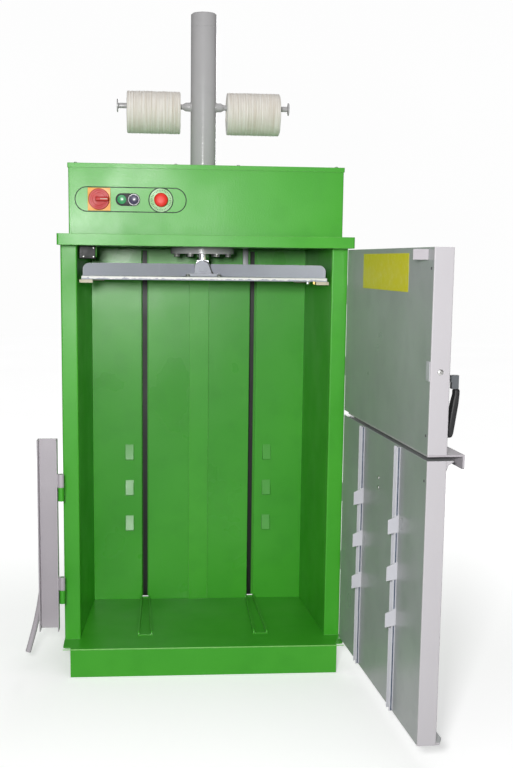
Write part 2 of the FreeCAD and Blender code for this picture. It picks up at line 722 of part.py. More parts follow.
def controls():
    """Main switch, the two push buttons and the emergency stop on the fascia."""
    height = CONTROLS
    switch_x = "-switch_place"
    half = "(switch_plate_side / 2)"
    plate_front = f"({FASCIA} - switch_plate_depth)"
    shaft = "(stem_size / 2)"
    plate = Piece("switch_plate")
    plate.block((f"{switch_x} - {half}", f"{switch_x} + {half}"), (plate_front, FASCIA),
                (f"{height} - {half}", f"{height} + {half}"))
    plate.drum(f"{shaft} + lid_gap", (plate_front, FASCIA), (switch_x, height), axis="Y", cut=True)

    knob_front = f"({plate_front} - lid_gap - switch_knob_depth)"
    knob = Piece("switch_knob")
    knob.drum("switch_knob_size / 2", (knob_front, f"{plate_front} - lid_gap"), (switch_x, height), axis="Y")
    knob.block((f"{switch_x} - switch_knob_size / 6", f"{switch_x} + switch_knob_size / 2 - 1"),
               (f"{knob_front} - switch_grip_depth", knob_front),
               (f"{height} - switch_grip_width / 2", f"{height} + switch_grip_width / 2"))
    knob.drum(shaft, (f"{plate_front} - lid_gap", f"{FASCIA_BACK} + contact_depth / 4"),
              (switch_x, height), axis="Y")

    bezel_front = f"({FASCIA} - button_bezel_depth)"
    cap = "(button_cap / 2)"
    bezel = Piece("button_bezel")
    for place in ("-start_place", "-stop_place"):
        bezel.drum(f"{cap} + button_rim", (bezel_front, FASCIA), (place, height), axis="Y")
    bezel.block(("-start_place", "-stop_place"), (bezel_front, FASCIA),
                (f"{height} - {cap} - button_rim", f"{height} + {cap} + button_rim"))
    for place in ("-start_place", "-stop_place"):
        bezel.drum(f"{cap} + running_gap", (bezel_front, f"{FASCIA} - lid_gap"), (place, height),
                   axis="Y", cut=True)
        bezel.drum("stem_size / 2 + lid_gap", (bezel_front, FASCIA), (place, height), axis="Y", cut=True)

    contact_front = FASCIA_BACK
    contact_back = f"({contact_front} + contact_depth)"
    contacts = []
    for name, place in (("switch", "-switch_place"), ("start", "-start_place"),
                        ("stop", "-stop_place"), ("estop", "-estop_place")):
        contact = Piece(f"{name}_contact")
        contact.block((f"{place} - contact_width / 2", f"{place} + contact_width / 2"),
                      (contact_front, contact_back),
                      (f"{height} - contact_height / 2", f"{height} + contact_height / 2"))
        contact.drum("panel_hole / 2 - lid_gap", (FASCIA, contact_front), (place, height), axis="Y")
        bore = (FASCIA, f"{contact_front} + contact_depth / 2")
        contact.drum(f"{shaft} + running_gap", bore, (place, height), axis="Y", cut=True)
        contacts.append(contact)
    group("contact_blocks", contacts)

    stem_end = f"({contact_front} + contact_depth / 4)"
    for name, place in (("start_button", "-start_place"), ("stop_button", "-stop_place")):
        button = Piece(name)
        crown = f"({bezel_front} - button_rise)"
        button.drum(cap, (crown, f"{crown} + button_rise + button_stroke / 4"), (place, height), axis="Y")
        button.drum("stem_size / 2", (f"{crown} + button_rise", stem_end), (place, height), axis="Y")
    ring = Piece("stop_ring")
    ring.drum(f"{cap} + button_rim * 0.8", (f"{bezel_front} - button_rise / 3", bezel_front),
              ("-stop_place", height), axis="Y")
    ring.drum(f"{cap} + lid_gap", (f"{bezel_front} - button_rise / 3", bezel_front),
              ("-stop_place", height), axis="Y", cut=True)

    plate = Piece("estop_plate")
    plate_front = f"({FASCIA} - estop_plate_depth)"
    plate.drum("estop_plate_size / 2", (plate_front, FASCIA), ("-estop_place", height), axis="Y")
    plate.drum("stem_size / 2 + lid_gap", (plate_front, FASCIA), ("-estop_place", height), axis="Y", cut=True)
    mushroom = Piece("estop_button")
    crown = f"({plate_front} - estop_rise - estop_head_depth)"
    mushroom.drum("estop_head / 2", (crown, f"{crown} + estop_head_depth"), ("-estop_place", height), axis="Y")
    mushroom.round("estop_head_depth / 3", lambda centre, along: near(centre.y, crown))
    mushroom.drum("stem_size / 2", (f"{crown} + estop_head_depth", stem_end), ("-estop_place", height), axis="Y")


def cylinder():
    """Hydraulic cylinder that stands over the pan, with its ports."""
    centre = ("0", CYLINDER)
    bore = "(tube_size / 2 - tube_wall)"
    tube_end = f"({TUBE_TOP} - cap_height)"
    port_end = f"({TUBE_BACK} + port_length)"
    tube = Piece("cylinder_tube")
    tube.drum("tube_size / 2", ("chamber_top", tube_end), centre)
    tube.drum("port_size / 2", (CYLINDER, port_end), ("0", PORT_HEIGHT), axis="Y")
    low_port = f"({PAN_FLOOR} + valve_height / 2)"
    valve_front = f"({TUBE_BACK} + port_length)"
    tube.drum("port_size / 2", (CYLINDER, valve_front), ("0", low_port), axis="Y")
    tube.drum(bore, ("chamber_top", tube_end), centre, cut=True)

    cap = Piece("cylinder_cap")
    cap.revolve([("0", "0"), ("tube_size / 2", "0"), ("tube_size / 2", "cap_height - cap_edge"),
                 ("tube_size / 2 - cap_edge", "cap_height"), ("0", "cap_height")])
    cap.at("0", CYLINDER, tube_end)

    flange = Piece("cylinder_flange")
    flange.drum("flange_size / 2", (FLANGE_BOTTOM, "chamber_top"), centre)
    flange.drum("rod_size / 2 + running_gap", (FLANGE_BOTTOM, "chamber_top"), centre, cut=True)
    for place in flange_bolt_places():
        flange.drum("flange_bolt / 2 + lid_gap", (FLANGE_BOTTOM, "chamber_top"), place, cut=True)
    bolts("flange_bolts", flange_bolt_places(), "flange_bolt", "flange_bolt * 0.6", FLANGE_BOTTOM,
          "(flange_depth + steel)", up=False)


def power_pack():
    """Valve block, tank, motor with its pump, hoses and the electrical box in the head."""
    valve_front = f"({TUBE_BACK} + port_length)"
    half_valve = "(valve_width / 2)"
    valve = Piece("valve_block")
    valve.block((f"-{half_valve}", half_valve), (valve_front, f"{valve_front} + valve_depth"),
                (PAN_FLOOR, f"{PAN_FLOOR} + valve_height"))

    tank = Piece("oil_tank")
    tank_x = ("tank_left", "tank_left + tank_width")
    tank_y = ("tank_front", "tank_front + tank_depth")
    tank_top = f"({PAN_FLOOR} + tank_height)"
    tank.block(tank_x, tank_y, (PAN_FLOOR, tank_top))
    inner_x = (f"{tank_x[0]} + tank_wall", f"{tank_x[1]} - tank_wall")
    inner_y = (f"{tank_y[0]} + tank_wall", f"{tank_y[1]} - tank_wall")
    tank.block(inner_x, inner_y, (f"{PAN_FLOOR} + tank_wall", f"{tank_top} - tank_wall"), cut=True)
    filler = (f"{tank_x[0]} + tank_width / 2", f"{tank_y[0]} + tank_depth / 4")
    tank.drum("port_size / 2", (f"{tank_top} - tank_wall", f"{tank_top} + port_length"), filler)
    tank.drum("port_size / 3", (f"{tank_top} - tank_wall", f"{tank_top} + port_length"), filler, cut=True)

    motor = Piece("pump_motor")
    motor_end = "(motor_length - motor_left)"
    axis = (CYLINDER, PUMP_HEIGHT)
    motor.drum("motor_size / 2", ("-motor_left", motor_end), axis, axis="X")
    motor.drum("pump_size / 2", (motor_end, f"{motor_end} + pump_length"), axis, axis="X")
    motor.block(("-motor_left + motor_foot", f"{motor_end} - motor_foot"),
                (f"{CYLINDER} - motor_size / 3", f"{CYLINDER} + motor_size / 3"),
                (PAN_FLOOR, PUMP_HEIGHT))

    box_back = f"({HEAD_BACK} - head_sheet * 2 - lid_gap - box_back_gap)"
    box = Piece("control_box")
    box.block(("-box_left", "box_width - box_left"), (f"{box_back} - box_depth", box_back),
              (PAN_FLOOR, f"{PAN_FLOOR} + box_height"))

    wall = f"({HEAD_BACK} - head_sheet - lid_gap)"
    gland_height = f"({PAN_TOP} + head_height / 4)"
    gland = Piece("cable_gland")
    gland.drum("gland_size / 2", (box_back, f"{wall} + gland_size / 4"), ("-gland_place", gland_height), axis="Y")
    gland.drum("gland_size * 0.65", (wall, f"{wall} + gland_size / 4"), ("-gland_place", gland_height), axis="Y")
    gland.drum("gland_size * 0.45", (f"{wall} + gland_size / 4", f"{wall} + gland_size"),
               ("-gland_place", gland_height), axis="Y")
    gland.drum("gland_size / 4", (f"{wall} - gland_size / 4", f"{wall} + gland_size"),
               ("-gland_place", gland_height), axis="Y", cut=True)

    port = value(f"{TUBE_BACK} + port_length")
    behind = value(f"{TUBE_BACK} + pipe_standoff")
    port_height = value(PORT_HEIGHT)
    valve_top = value(f"{PAN_FLOOR} + valve_height")
    swept("pressure_pipe", [[(0, port, port_height), (0, behind, port_height), (0, behind, valve_top)]], "pipe_size")

    pump_middle = value(f"{motor_end} + pump_length / 2")
    pump_front = value(f"{CYLINDER} - pump_size / 2")
    pump_back = value(f"{CYLINDER} + pump_size / 2")
    pump_height = value(PUMP_HEIGHT)
    valve_side = -value(half_valve)
    valve_middle = value(f"{valve_front} + valve_depth / 2")
    tank_side = value("tank_left")
    suction = value("tank_front + tank_depth / 8")
    seat = value("running_gap")
    hoses = [
        [(pump_middle, pump_back + seat, pump_height), (pump_middle, valve_middle, pump_height),
         (valve_side, valve_middle, pump_height)],
        [(-valve_side, valve_middle, pump_height), (tank_side, valve_middle, pump_height)],
        [(tank_side, suction, pump_height), (pump_middle, suction, pump_height),
         (pump_middle, pump_front - seat, pump_height)],
    ]
    swept("hydraulic_hoses", hoses, "hose_size")


def twine():
    """Pins on the cylinder and the spool of twine that hangs on each."""
    pins = []
    for side, name in ((-1, "left"), (1, "right")):
        pin = Piece(f"spool_pin_{name}")
        centre = (CYLINDER, SPOOL_HEIGHT)
        pin.drum("spool_collar / 2", span_of(side, "0", "spool_collar_reach"), centre, axis="X")
        pin.drum("spool_pin_size / 2", span_of(side, "0", "spool_pin_reach"), centre, axis="X")
        pin.drum("spool_disc / 2", span_of(side, "spool_pin_reach - spool_disc_depth", "spool_pin_reach"),
                 centre, axis="X")
        height = (f"{SPOOL_HEIGHT} - spool_collar", f"{SPOOL_HEIGHT} + spool_collar")
        pin.drum("tube_size / 2", height, ("0", CYLINDER), cut=True)
        pins.append(pin)

        spool = Piece(f"spool_{name}")
        reach = span_of(side, "spool_start", "spool_start + spool_length")
        spool.drum("spool_size / 2", reach, (CYLINDER, SPOOL_AXIS), axis="X")
        spool.drum("spool_bore / 2", reach, (CYLINDER, SPOOL_AXIS), axis="X", cut=True)
    group("spool_pins", pins)


def platen_side(y):
    """Half width of the platen at a depth: the chamber's half width less the gap."""
    length = f"(chamber_back - {WALL_FRONT})"
    return f"({HALF_CHAMBER} - platen_side_gap - chamber_lean * (({y}) - {WALL_FRONT}) / {length})"


def platen():
    """Pressing plate with its crossed ribs, clevis, rod, piston and wear pads."""
    front_half = f"({HALF_CHAMBER} - platen_side_gap)"
    back_half = platen_side(PLATEN_BACK)
    plate = Piece("platen_plate")
    outline = [(f"-{front_half}", "platen_front"), (front_half, "platen_front"), (front_half, WALL_FRONT),
               (back_half, PLATEN_BACK), (f"-{back_half}", PLATEN_BACK), (f"-{front_half}", WALL_FRONT)]
    plate.extrude("XY", outline, (PLATEN_BOTTOM, PLATEN_TOP))
    plate.round("platen_edge", lambda centre, along: near(centre.y, "platen_front") and abs(along.z) < 1)

    ribs = Piece("platen_ribs")
    rib_top = f"({PLATEN_TOP} + rib_rise)"
    hub = "(hub_size / 2)"
    hub_height = (PLATEN_TOP, f"{PLATEN_TOP} + hub_depth")
    ribs.block((f"-{hub}", hub), (f"{CYLINDER} - {hub}", f"{CYLINDER} + {hub}"), hub_height)
    window = "(clevis_width / 2 + lid_gap)"
    ribs.block((f"-{window}", window), (f"{CYLINDER} - {window}", f"{CYLINDER} + {window}"),
               hub_height, cut=True)
    rear_half = platen_side(f"{PLATEN_BACK} - rib_thickness")
    for side in (-1, 1):
        for near_y, far_y, far_x in (
            (f"{CYLINDER} - rib_thickness", "platen_front + platen_edge * 2", f"{front_half} - platen_edge * 2"),
            (f"{CYLINDER} - rib_thickness / 4", f"{PLATEN_BACK} - rib_thickness * 2",
             f"{rear_half} - platen_edge * 2"),
        ):
            outline = [(mirrored(side, window), near_y),
                       (mirrored(side, far_x), far_y),
                       (mirrored(side, far_x), f"{far_y} + rib_thickness"),
                       (mirrored(side, window), f"{near_y} + rib_thickness")]
            ribs.extrude("XY", outline, (PLATEN_TOP, rib_top))
    ribs.round("rib_corner", lambda centre, along: near(centre.z, rib_top)
               and abs(centre.x) > value(f"{back_half} - platen_edge * 8")
               and abs(along.x) < 1e-6)

    clevis = Piece("platen_clevis")
    half = "(clevis_width / 2)"
    pin_height = f"({PLATEN_TOP} + clevis_rise - {half})"
    gap = (f"{CYLINDER} - clevis_gap / 2", f"{CYLINDER} + clevis_gap / 2")
    depth = (f"{gap[0]} - clevis_ear", f"{gap[1]} + clevis_ear")
    clevis.block((f"-{half}", half), depth, (PLATEN_TOP, pin_height))
    clevis.drum(half, depth, ("0", pin_height), axis="Y")
    clevis.block((f"-{half}", half), gap, (f"{PLATEN_TOP} + steel", f"{pin_height} + {half}"), cut=True)
    clevis.block((f"-{half}", half), depth, (f"{PLATEN_TOP} - {half}", PLATEN_TOP), cut=True)
    clevis.drum("clevis_pin / 2 + running_gap", depth, ("0", pin_height), axis="Y", cut=True)
    pin = Piece("clevis_pin")
    pin.drum("clevis_pin / 2", (f"{depth[0]} - clevis_ear / 2", f"{depth[1]} + clevis_ear"),
             ("0", pin_height), axis="Y")
    pin.drum("clevis_pin * 0.75", (f"{depth[0]} - clevis_ear / 2", depth[0]), ("0", pin_height), axis="Y")

    rod = Piece("piston_rod")
    piston_bottom = f"({TUBE_TOP} - cap_height - piston_top_gap - piston_height)"
    eye_half = "(clevis_gap / 2 - lid_gap)"
    eye = (f"{CYLINDER} - {eye_half}", f"{CYLINDER} + {eye_half}")
    neck = f"({pin_height} + {half} + lid_gap)"
    rod.drum("rod_size / 2", (neck, piston_bottom), ("0", CYLINDER))
    eye_radius = "(clevis_pin / 2 + clevis_ear)"
    rod.block((f"-{eye_radius}", eye_radius), eye, (pin_height, neck))
    rod.drum(eye_radius, eye, ("0", pin_height), axis="Y")
    rod.drum("clevis_pin / 2 + running_gap", eye, ("0", pin_height), axis="Y", cut=True)
    piston = Piece("piston")
    piston.drum("tube_size / 2 - tube_wall - running_gap", (piston_bottom, f"{piston_bottom} + piston_height"),
                ("0", CYLINDER))

    pads = []
    for side in (-1, 1):
        for row, y in enumerate(("platen_front + platen_edge * 2", f"{PLATEN_BACK} - pad_length - platen_edge * 2")):
            pad = Piece(f"wear_pad_{SIDE_NAMES[side]}_{row}")
            leaning = platen_side(f"{y} + pad_length") if row else platen_side(f"{WALL_FRONT} + pad_length")
            reach = f"({leaning} + platen_side_gap - pad_gap)"
            pad.block(span_of(side, f"{reach} - pad_width", reach), (y, f"{y} + pad_length"),
                      (f"{PLATEN_BOTTOM} - pad_depth", PLATEN_BOTTOM))
            pads.append(pad)
    group("wear_pads", pads)


def door_leaf(label, low, high):
    """Hollow folded leaf drawn from the hinge axis, with its two hinge barrels."""
    leaf = Piece(label)
    across = (f"-{FREE_EDGE}", "-door_hinge_edge")
    depth = (DOOR_OUTER, "door_inner")
    leaf.block(across, depth, (low, high))
    leaf.round("door_skin", lambda centre, along: upright(centre, along) and near(centre.x, f"-{FREE_EDGE}"))
    inner = (f"door_skin - {FREE_EDGE}", "-door_hinge_edge - door_skin")
    leaf.block(inner, (f"{DOOR_OUTER} + door_skin", "door_inner - door_skin"),
               (f"{low} + door_skin", f"{high} - door_skin"), cut=True)
    for place in (f"-{FREE_EDGE} + door_thickness", "-door_hinge_edge - door_thickness"):
        middle = f"({DOOR_OUTER} + door_thickness / 2)"
        leaf.drum("door_drain / 2", (low, f"{low} + door_skin"), (place, middle), cut=True)
    return leaf


def hinge_stations(low, high):
    """Bottom of the frame's barrel at the lower and upper hinge of a leaf."""
    middle = f"(({low} + {high}) / 2)"
    return (f"({middle} - hinge_step / 2 - hinge_length)", f"({middle} + hinge_step / 2 - hinge_length)")


def add_barrels(leaf, low, high):
    """Barrels on a leaf, each over the frame's own barrel with a pin through both."""
    for station in hinge_stations(low, high):
        barrel = (f"{station} + hinge_length + hinge_play", f"{station} + hinge_length * 2 + hinge_play")
        leaf.drum("hinge_barrel / 2", barrel)
        leaf.block(("-door_hinge_edge", "0"), ("-hinge_leaf / 2", "hinge_leaf / 2"), barrel)
        leaf.drum("hinge_pin / 2 + running_gap", barrel, cut=True)


def doors():
    """Upper and lower loading doors on one hinge line, stored open."""
    upper = door_leaf("upper_door", UPPER_BOTTOM, UPPER_TOP)
    add_barrels(upper, UPPER_BOTTOM, UPPER_TOP)
    upper.drum("handle_arm / 2 + lid_gap", (DOOR_OUTER, f"{DOOR_OUTER} + door_skin"),
               (f"-{HANDLE_PLACE}", HANDLE_HEIGHT), axis="Y", cut=True)
    upper.on_door()

    rail = Piece("upper_door_rail")
    across = (f"-{FREE_EDGE}", "-rail_end")
    outer = f"({DOOR_OUTER} - rail_reach)"
    rail.block(across, (outer, "door_inner"), (f"{UPPER_BOTTOM} - rail_depth", UPPER_BOTTOM))
    rail.block(across, (outer, f"{outer} + rail_depth"), (f"{UPPER_BOTTOM} - rail_drop", UPPER_BOTTOM))
    rail.round("rail_depth", lambda centre, along: abs(along.y) > 1 and abs(along.z) < 1e-6
               and near(centre.z, f"{UPPER_BOTTOM} - rail_drop"))
    rail.on_door()

    tab = Piece("door_tab")
    tab.block((f"tab_inset - {FREE_EDGE} - claw_steel", f"tab_inset - {FREE_EDGE}"),
              ("door_inner", "door_inner + tab_reach"), (f"{UPPER_TOP} - tab_height - claw_steel",
                                                         f"{UPPER_TOP} - claw_steel"))
    tab.on_door()

    lower = door_leaf("lower_door", LOWER_BOTTOM, LOWER_TOP)
    lip = [(DOOR_OUTER, f"{LOWER_TOP} - lip_rise"), (f"{DOOR_OUTER} - lip_reach / 4", f"{LOWER_TOP} - lip_rise * 0.45"),
           (f"{DOOR_OUTER} - lip_reach", f"{LOWER_TOP} - door_skin"), (f"{DOOR_OUTER} - lip_reach", LOWER_TOP),
           (DOOR_OUTER, LOWER_TOP)]
    lower.extrude("YZ", lip, (f"-{FREE_EDGE}", "-rail_end"))
    foot = [(f"-{FREE_EDGE}", DOOR_OUTER), (f"-{FREE_EDGE}", f"{DOOR_OUTER} - foot_reach * 0.4"),
            (f"foot_width / 4 - {FREE_EDGE}", f"{DOOR_OUTER} - foot_reach"),
            (f"foot_width * 0.75 - {FREE_EDGE}", f"{DOOR_OUTER} - foot_reach"),
            (f"foot_width - {FREE_EDGE}", DOOR_OUTER)]
    lower.extrude("XY", foot, (LOWER_BOTTOM, f"{LOWER_BOTTOM} + foot_depth"))
    add_barrels(lower, LOWER_BOTTOM, LOWER_TOP)
    lower.on_door()


def strap_guides():
    """Twine channels on the lower door's inner face, each with three claws."""
    guides = []
    for index, place in enumerate((f"slot_offset - {HINGE_SIDE}", f"-slot_offset - {HINGE_SIDE}")):
        guide = Piece(f"door_strap_guide_{index}")
        half = "(strap_guide_width / 2)"
        steel = "strap_guide_steel"
        height = (f"{LOWER_BOTTOM} + door_skin", f"{LOWER_TOP} - door_skin")
        outer = (f"{place} - {half}", f"{place} + {half}")
        guide.block(outer, ("door_inner", "door_inner + strap_guide_rise"), height)
        inner = (f"{outer[0]} + {steel}", f"{outer[1]} - {steel}")
        guide.block(inner, (f"door_inner + {steel}", "door_inner + strap_guide_rise"), height, cut=True)
        tip = "(door_inner + claw_reach)"
        for row in (0, 1, 2):
            top = f"({CLAW_TOP} - claw_step * {row})"
            outline = [("door_inner", top), (tip, f"{top} - claw_slope"), (tip, f"{top} - claw_height"),
                       ("door_inner", f"{top} - claw_height + claw_slope / 3")]
            guide.extrude("YZ", outline, (f"{outer[0]} - claw_steel", outer[0]))
        guides.append(guide)
    for guide in guides:
        guide.on_door()
    group("door_strap_guides", guides)


def door_handle():
    """Turning handle on the upper door, with its grip and the latch cam inside."""
    place, height = f"-{HANDLE_PLACE}", HANDLE_HEIGHT
    arm_half = "(handle_arm / 2)"
    outside = f"({DOOR_OUTER} - handle_reach)"
    handle = Piece("door_handle")
    latch_back = f"({DOOR_OUTER} + door_skin + latch_gap)"
    handle.block((f"{place} - {arm_half}", f"{place} + {arm_half}"), (outside, f"{DOOR_OUTER} - running_gap"),
                 (f"{height} - {arm_half}", f"{height} + {arm_half}"))
    handle.block((f"{place} - {arm_half}", f"{place} + {arm_half}"), (outside, f"{outside} + handle_arm"),
                 (f"{height} + {arm_half} - handle_drop", f"{height} + {arm_half}"))
    handle.drum("handle_arm / 2", (f"{DOOR_OUTER} - running_gap", f"{latch_back} + claw_steel"),
                (place, height), axis="Y")
    handle.block((f"{place} - latch_length", f"{place} + {arm_half}"), (latch_back, f"{latch_back} + claw_steel"),
                 (f"{height} - {arm_half}", f"{height} + {arm_half}"))
    handle.on_door()

    grip = Piece("handle_grip")
    top = f"({height} + {arm_half} - handle_drop)"
    low = f"({top} - grip_length)"
    middle = f"({outside} + handle_arm / 2)"
    outline = [(f"{middle} - grip_thickness / 2", top), (f"{middle} + grip_thickness / 2", top),
               (f"{middle} + grip_thickness / 2 + grip_lean", low), (f"{middle} - grip_thickness / 2 + grip_lean", low)]
    grip.extrude("YZ", outline, (f"{place} - grip_width / 2", f"{place} + grip_width / 2"))
    grip.round("grip_thickness / 5", lambda centre, along: abs(along.z) > value("grip_length / 2"))
    grip.on_door()


def hinges():
    """Barrels and pins that the frame gives the doors and the closing bar."""
    door_hinges = []
    for low, high in ((LOWER_BOTTOM, LOWER_TOP), (UPPER_BOTTOM, UPPER_TOP)):
        for station in hinge_stations(low, high):
            hinge = Piece(f"door_hinge_{len(door_hinges)}")
            span = (station, f"{station} + hinge_length")
            centre = (HINGE_SIDE, "hinge_front")
            hinge.drum("hinge_barrel / 2", span, centre)
            hinge.block((HALF_BODY, f"{HALF_BODY} + hinge_leaf"), ("hinge_front", "post_face + post_outer_return"),
                        span)
            hinge.drum("hinge_pin / 2", (station, f"{station} + hinge_length * 2 + hinge_play"), centre)
            door_hinges.append(hinge)
    group("door_hinges", door_hinges)

    bar_hinges = []
    for station in BAR_HINGES:
        hinge = Piece(f"bar_hinge_{len(bar_hinges)}")
        centre = (f"-{BAR_HINGE_SIDE}", "bar_hinge_front")
        span = (f"{station} - bar_hinge_length", station)
        hinge.drum("bar_barrel / 2", span, centre)
        leaf = (f"-{BAR_HINGE_SIDE} - hinge_leaf / 2", f"-{BAR_HINGE_SIDE} + hinge_leaf")
        hinge.block(leaf, ("bar_hinge_front", "post_face"), span)
        hinge.drum("bar_pin / 2", (station, f"{station} + bar_hinge_length"), centre)
        bar_hinges.append(hinge)
    group("bar_hinges", bar_hinges)


def closing_bar():
    """Channel that swings over the doors' free edge, and its long handle."""
    bar = Piece("closing_bar")
    right = f"(-{BAR_HINGE_SIDE} - bar_gap)"
    left = f"({right} - bar_width)"
    front, back = "bar_front", "(bar_front + bar_depth)"
    height = (BAR_BOTTOM, BAR_TOP)
    bar.block((left, right), (front, back), height)
    bar.round("bar_steel", lambda centre, along: upright(centre, along) and near(centre.y, back))
    bar.block((f"{left} + bar_steel", f"{right} - bar_steel"), (front, f"{back} - bar_steel"), height, cut=True)
    for station in BAR_HINGES:
        span = (f"{station} + hinge_play", f"{station} + bar_hinge_length")
        bar.drum("bar_barrel / 2", span, (f"-{BAR_HINGE_SIDE}", "bar_hinge_front"))
        bar.block((right, f"-{BAR_HINGE_SIDE}"), ("bar_hinge_front - hinge_leaf / 2", "bar_hinge_front + hinge_leaf / 2"),
                  span)
        bar.drum("bar_pin / 2 + running_gap", span, (f"-{BAR_HINGE_SIDE}", "bar_hinge_front"), cut=True)

    behind = value(f"{back} + bar_handle_size / 2")
    flange = value(left)
    # Offsets of the handle from the bar's outer edge, and heights from its foot.
    route = [(19, 421), (17, 281), (11, 182), (2, 89), (-14, 10), (-37, -73)]
    foot = value(BAR_BOTTOM)
    points = [(flange + offset, behind, foot + rise) for offset, rise in route]
    swept("bar_handle", [points], "bar_handle_size")


def door_switch():
    """Switch that the upper door's tab presses, hung under the pan."""
    plunger_front = "(hinge_front + door_inner + tab_reach + door_switch_gap)"
    body_front = f"({plunger_front} + plunger_rise)"
    right = f"(-{HALF_CHAMBER} + steel + door_switch_width)"
    left = f"(-{HALF_CHAMBER} + steel)"
    centre = (f"({HINGE_SIDE} - {FREE_EDGE} + tab_inset - claw_steel / 2)",
              f"({UPPER_TOP} - claw_steel - tab_height / 2)")
    body = Piece("door_switch")
    body.block((f"{left} + lid_gap", right), (body_front, f"{body_front} + door_switch_depth"),
               ("chamber_top - door_switch_height", "chamber_top"))
    body.drum("plunger_size / 2 + running_gap", (body_front, f"{body_front} + door_switch_depth / 2"),
              centre, axis="Y", cut=True)
    plunger = Piece("switch_plunger")
    plunger.drum("plunger_size / 2", (plunger_front, f"{body_front} + door_switch_depth / 4"), centre, axis="Y")


def check():
    """Stop if a feature failed or a sub-part has no valid shape."""
    for item in document.Objects:
        if "Invalid" in item.State or "Error" in item.State:
            raise RuntimeError(f"{item.Name} failed: {item.State}")
    for item in sub_parts:
        if item.Shape.isNull() or not item.Shape.isValid():
            raise RuntimeError(f"{item.Label} has no valid shape")


base()
floor_guides()
side_frames()
back_frame()
head()
controls()
cylinder()
power_pack()
twine()
platen()
doors()
strap_guides()
door_handle()
hinges()
closing_bar()
door_switch()
document.recompute()
check()

os.makedirs("parts", exist_ok=True)
for item in sub_parts:
    item.Shape.exportStep(f"parts/{item.Label}.step")
    print(f"{item.Label}: {len(item.Shape.Solids)} solid(s), {item.Shape.Volume / 1000:.1f} cm3")
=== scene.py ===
"""Looks of a small upright recycling baler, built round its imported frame."""

import json
import logging
import math
from dataclasses import dataclass, field, replace
from enum import Enum
from typing import Callable, Sequence

import bmesh
import bpy
from mathutils import Matrix, Vector


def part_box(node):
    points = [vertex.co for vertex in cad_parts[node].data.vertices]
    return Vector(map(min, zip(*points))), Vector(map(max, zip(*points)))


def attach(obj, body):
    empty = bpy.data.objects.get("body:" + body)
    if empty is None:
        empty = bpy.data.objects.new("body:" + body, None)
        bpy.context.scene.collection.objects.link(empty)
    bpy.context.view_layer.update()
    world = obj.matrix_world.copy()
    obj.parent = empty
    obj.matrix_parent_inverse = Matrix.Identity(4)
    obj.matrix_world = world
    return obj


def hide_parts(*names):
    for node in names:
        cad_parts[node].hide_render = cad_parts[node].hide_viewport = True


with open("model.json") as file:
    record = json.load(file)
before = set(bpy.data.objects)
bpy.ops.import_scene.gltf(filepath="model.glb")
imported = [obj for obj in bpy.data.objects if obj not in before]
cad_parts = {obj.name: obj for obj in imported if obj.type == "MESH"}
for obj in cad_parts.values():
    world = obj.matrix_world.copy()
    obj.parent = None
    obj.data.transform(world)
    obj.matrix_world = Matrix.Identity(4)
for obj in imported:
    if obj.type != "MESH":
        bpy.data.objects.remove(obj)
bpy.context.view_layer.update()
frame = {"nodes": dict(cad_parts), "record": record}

LOG = logging.getLogger("baler")
MM = 0.001
Colour = tuple[float, float, float]
Profile = Sequence[tuple[float, float]]
Test = Callable[[Vector, Vector], bool]

DOOR_HINGE = Vector((0.4025, 0.075, 0.0))
DOOR_OPEN = math.radians(93.7)
SQUARE_ON = 0.9
ON_CENTRE = 1e-6


class Axis(Enum):
    """Direction that a turned or drawn piece points along."""

    X = "x"
    Y = "y"
    Z = "z"

    def turn(self) -> Matrix:
        """Rotation that takes +Z to this axis."""
        turns = {
            "x": Matrix.Rotation(math.pi / 2, 4, "Y"),
            "y": Matrix.Rotation(-math.pi / 2, 4, "X"),
            "z": Matrix.Identity(4),
        }
        return turns[self.value]


# ---------------------------------------------------------------------------
# Modelling helpers
# ---------------------------------------------------------------------------


def clear_selection() -> None:
    """Leave every object deselected, in object mode."""
    if bpy.context.object and bpy.context.object.mode != "OBJECT":
        bpy.ops.object.mode_set(mode="OBJECT")
    bpy.ops.object.select_all(action="DESELECT")


def make_active(piece: bpy.types.Object) -> None:
    """Select one object alone and make it the active one."""
    clear_selection()
    piece.select_set(True)
    bpy.context.view_layer.objects.active = piece


def start_edit(piece: bpy.types.Object) -> None:
    """Go into edit mode on a piece with nothing picked."""
    make_active(piece)
    bpy.ops.object.mode_set(mode="EDIT")
    bpy.ops.mesh.select_mode(type="VERT")
    bpy.ops.mesh.select_all(action="DESELECT")


def end_edit() -> None:
    """Go back to object mode."""
    bpy.ops.object.mode_set(mode="OBJECT")


def pick_faces(piece: bpy.types.Object, test: Test) -> None:
    """Pick the faces whose centre and normal pass a test, in edit mode."""
    bpy.ops.mesh.select_all(action="DESELECT")
    bpy.ops.mesh.select_mode(type="FACE")
    mesh = bmesh.from_edit_mesh(piece.data)
    for face in mesh.faces:
        face.select_set(test(face.calc_center_median(), face.normal))
    bmesh.update_edit_mesh(piece.data)


def pick_points(piece: bpy.types.Object, test: Callable[[Vector], bool]) -> None:
    """Pick the vertices whose place passes a test, in edit mode."""
    bpy.ops.mesh.select_all(action="DESELECT")
    bpy.ops.mesh.select_mode(type="VERT")
    mesh = bmesh.from_edit_mesh(piece.data)
    for point in mesh.verts:
        point.select_set(test(point.co))
    mesh.select_flush_mode()
    bmesh.update_edit_mesh(piece.data)


def settle(piece: bpy.types.Object, turn: Matrix | None = None) -> bpy.types.Object:
    """Put a piece's place into its mesh, so that its object sits at the origin.

    Args:
        piece: the object to settle.
        turn: a further move in the row frame, made first.

    Returns:
        The same object.
    """
    make_active(piece)
    if turn is not None:
        piece.matrix_world = turn @ piece.matrix_world
    bpy.ops.object.transform_apply(location=True, rotation=True, scale=True)
    return piece


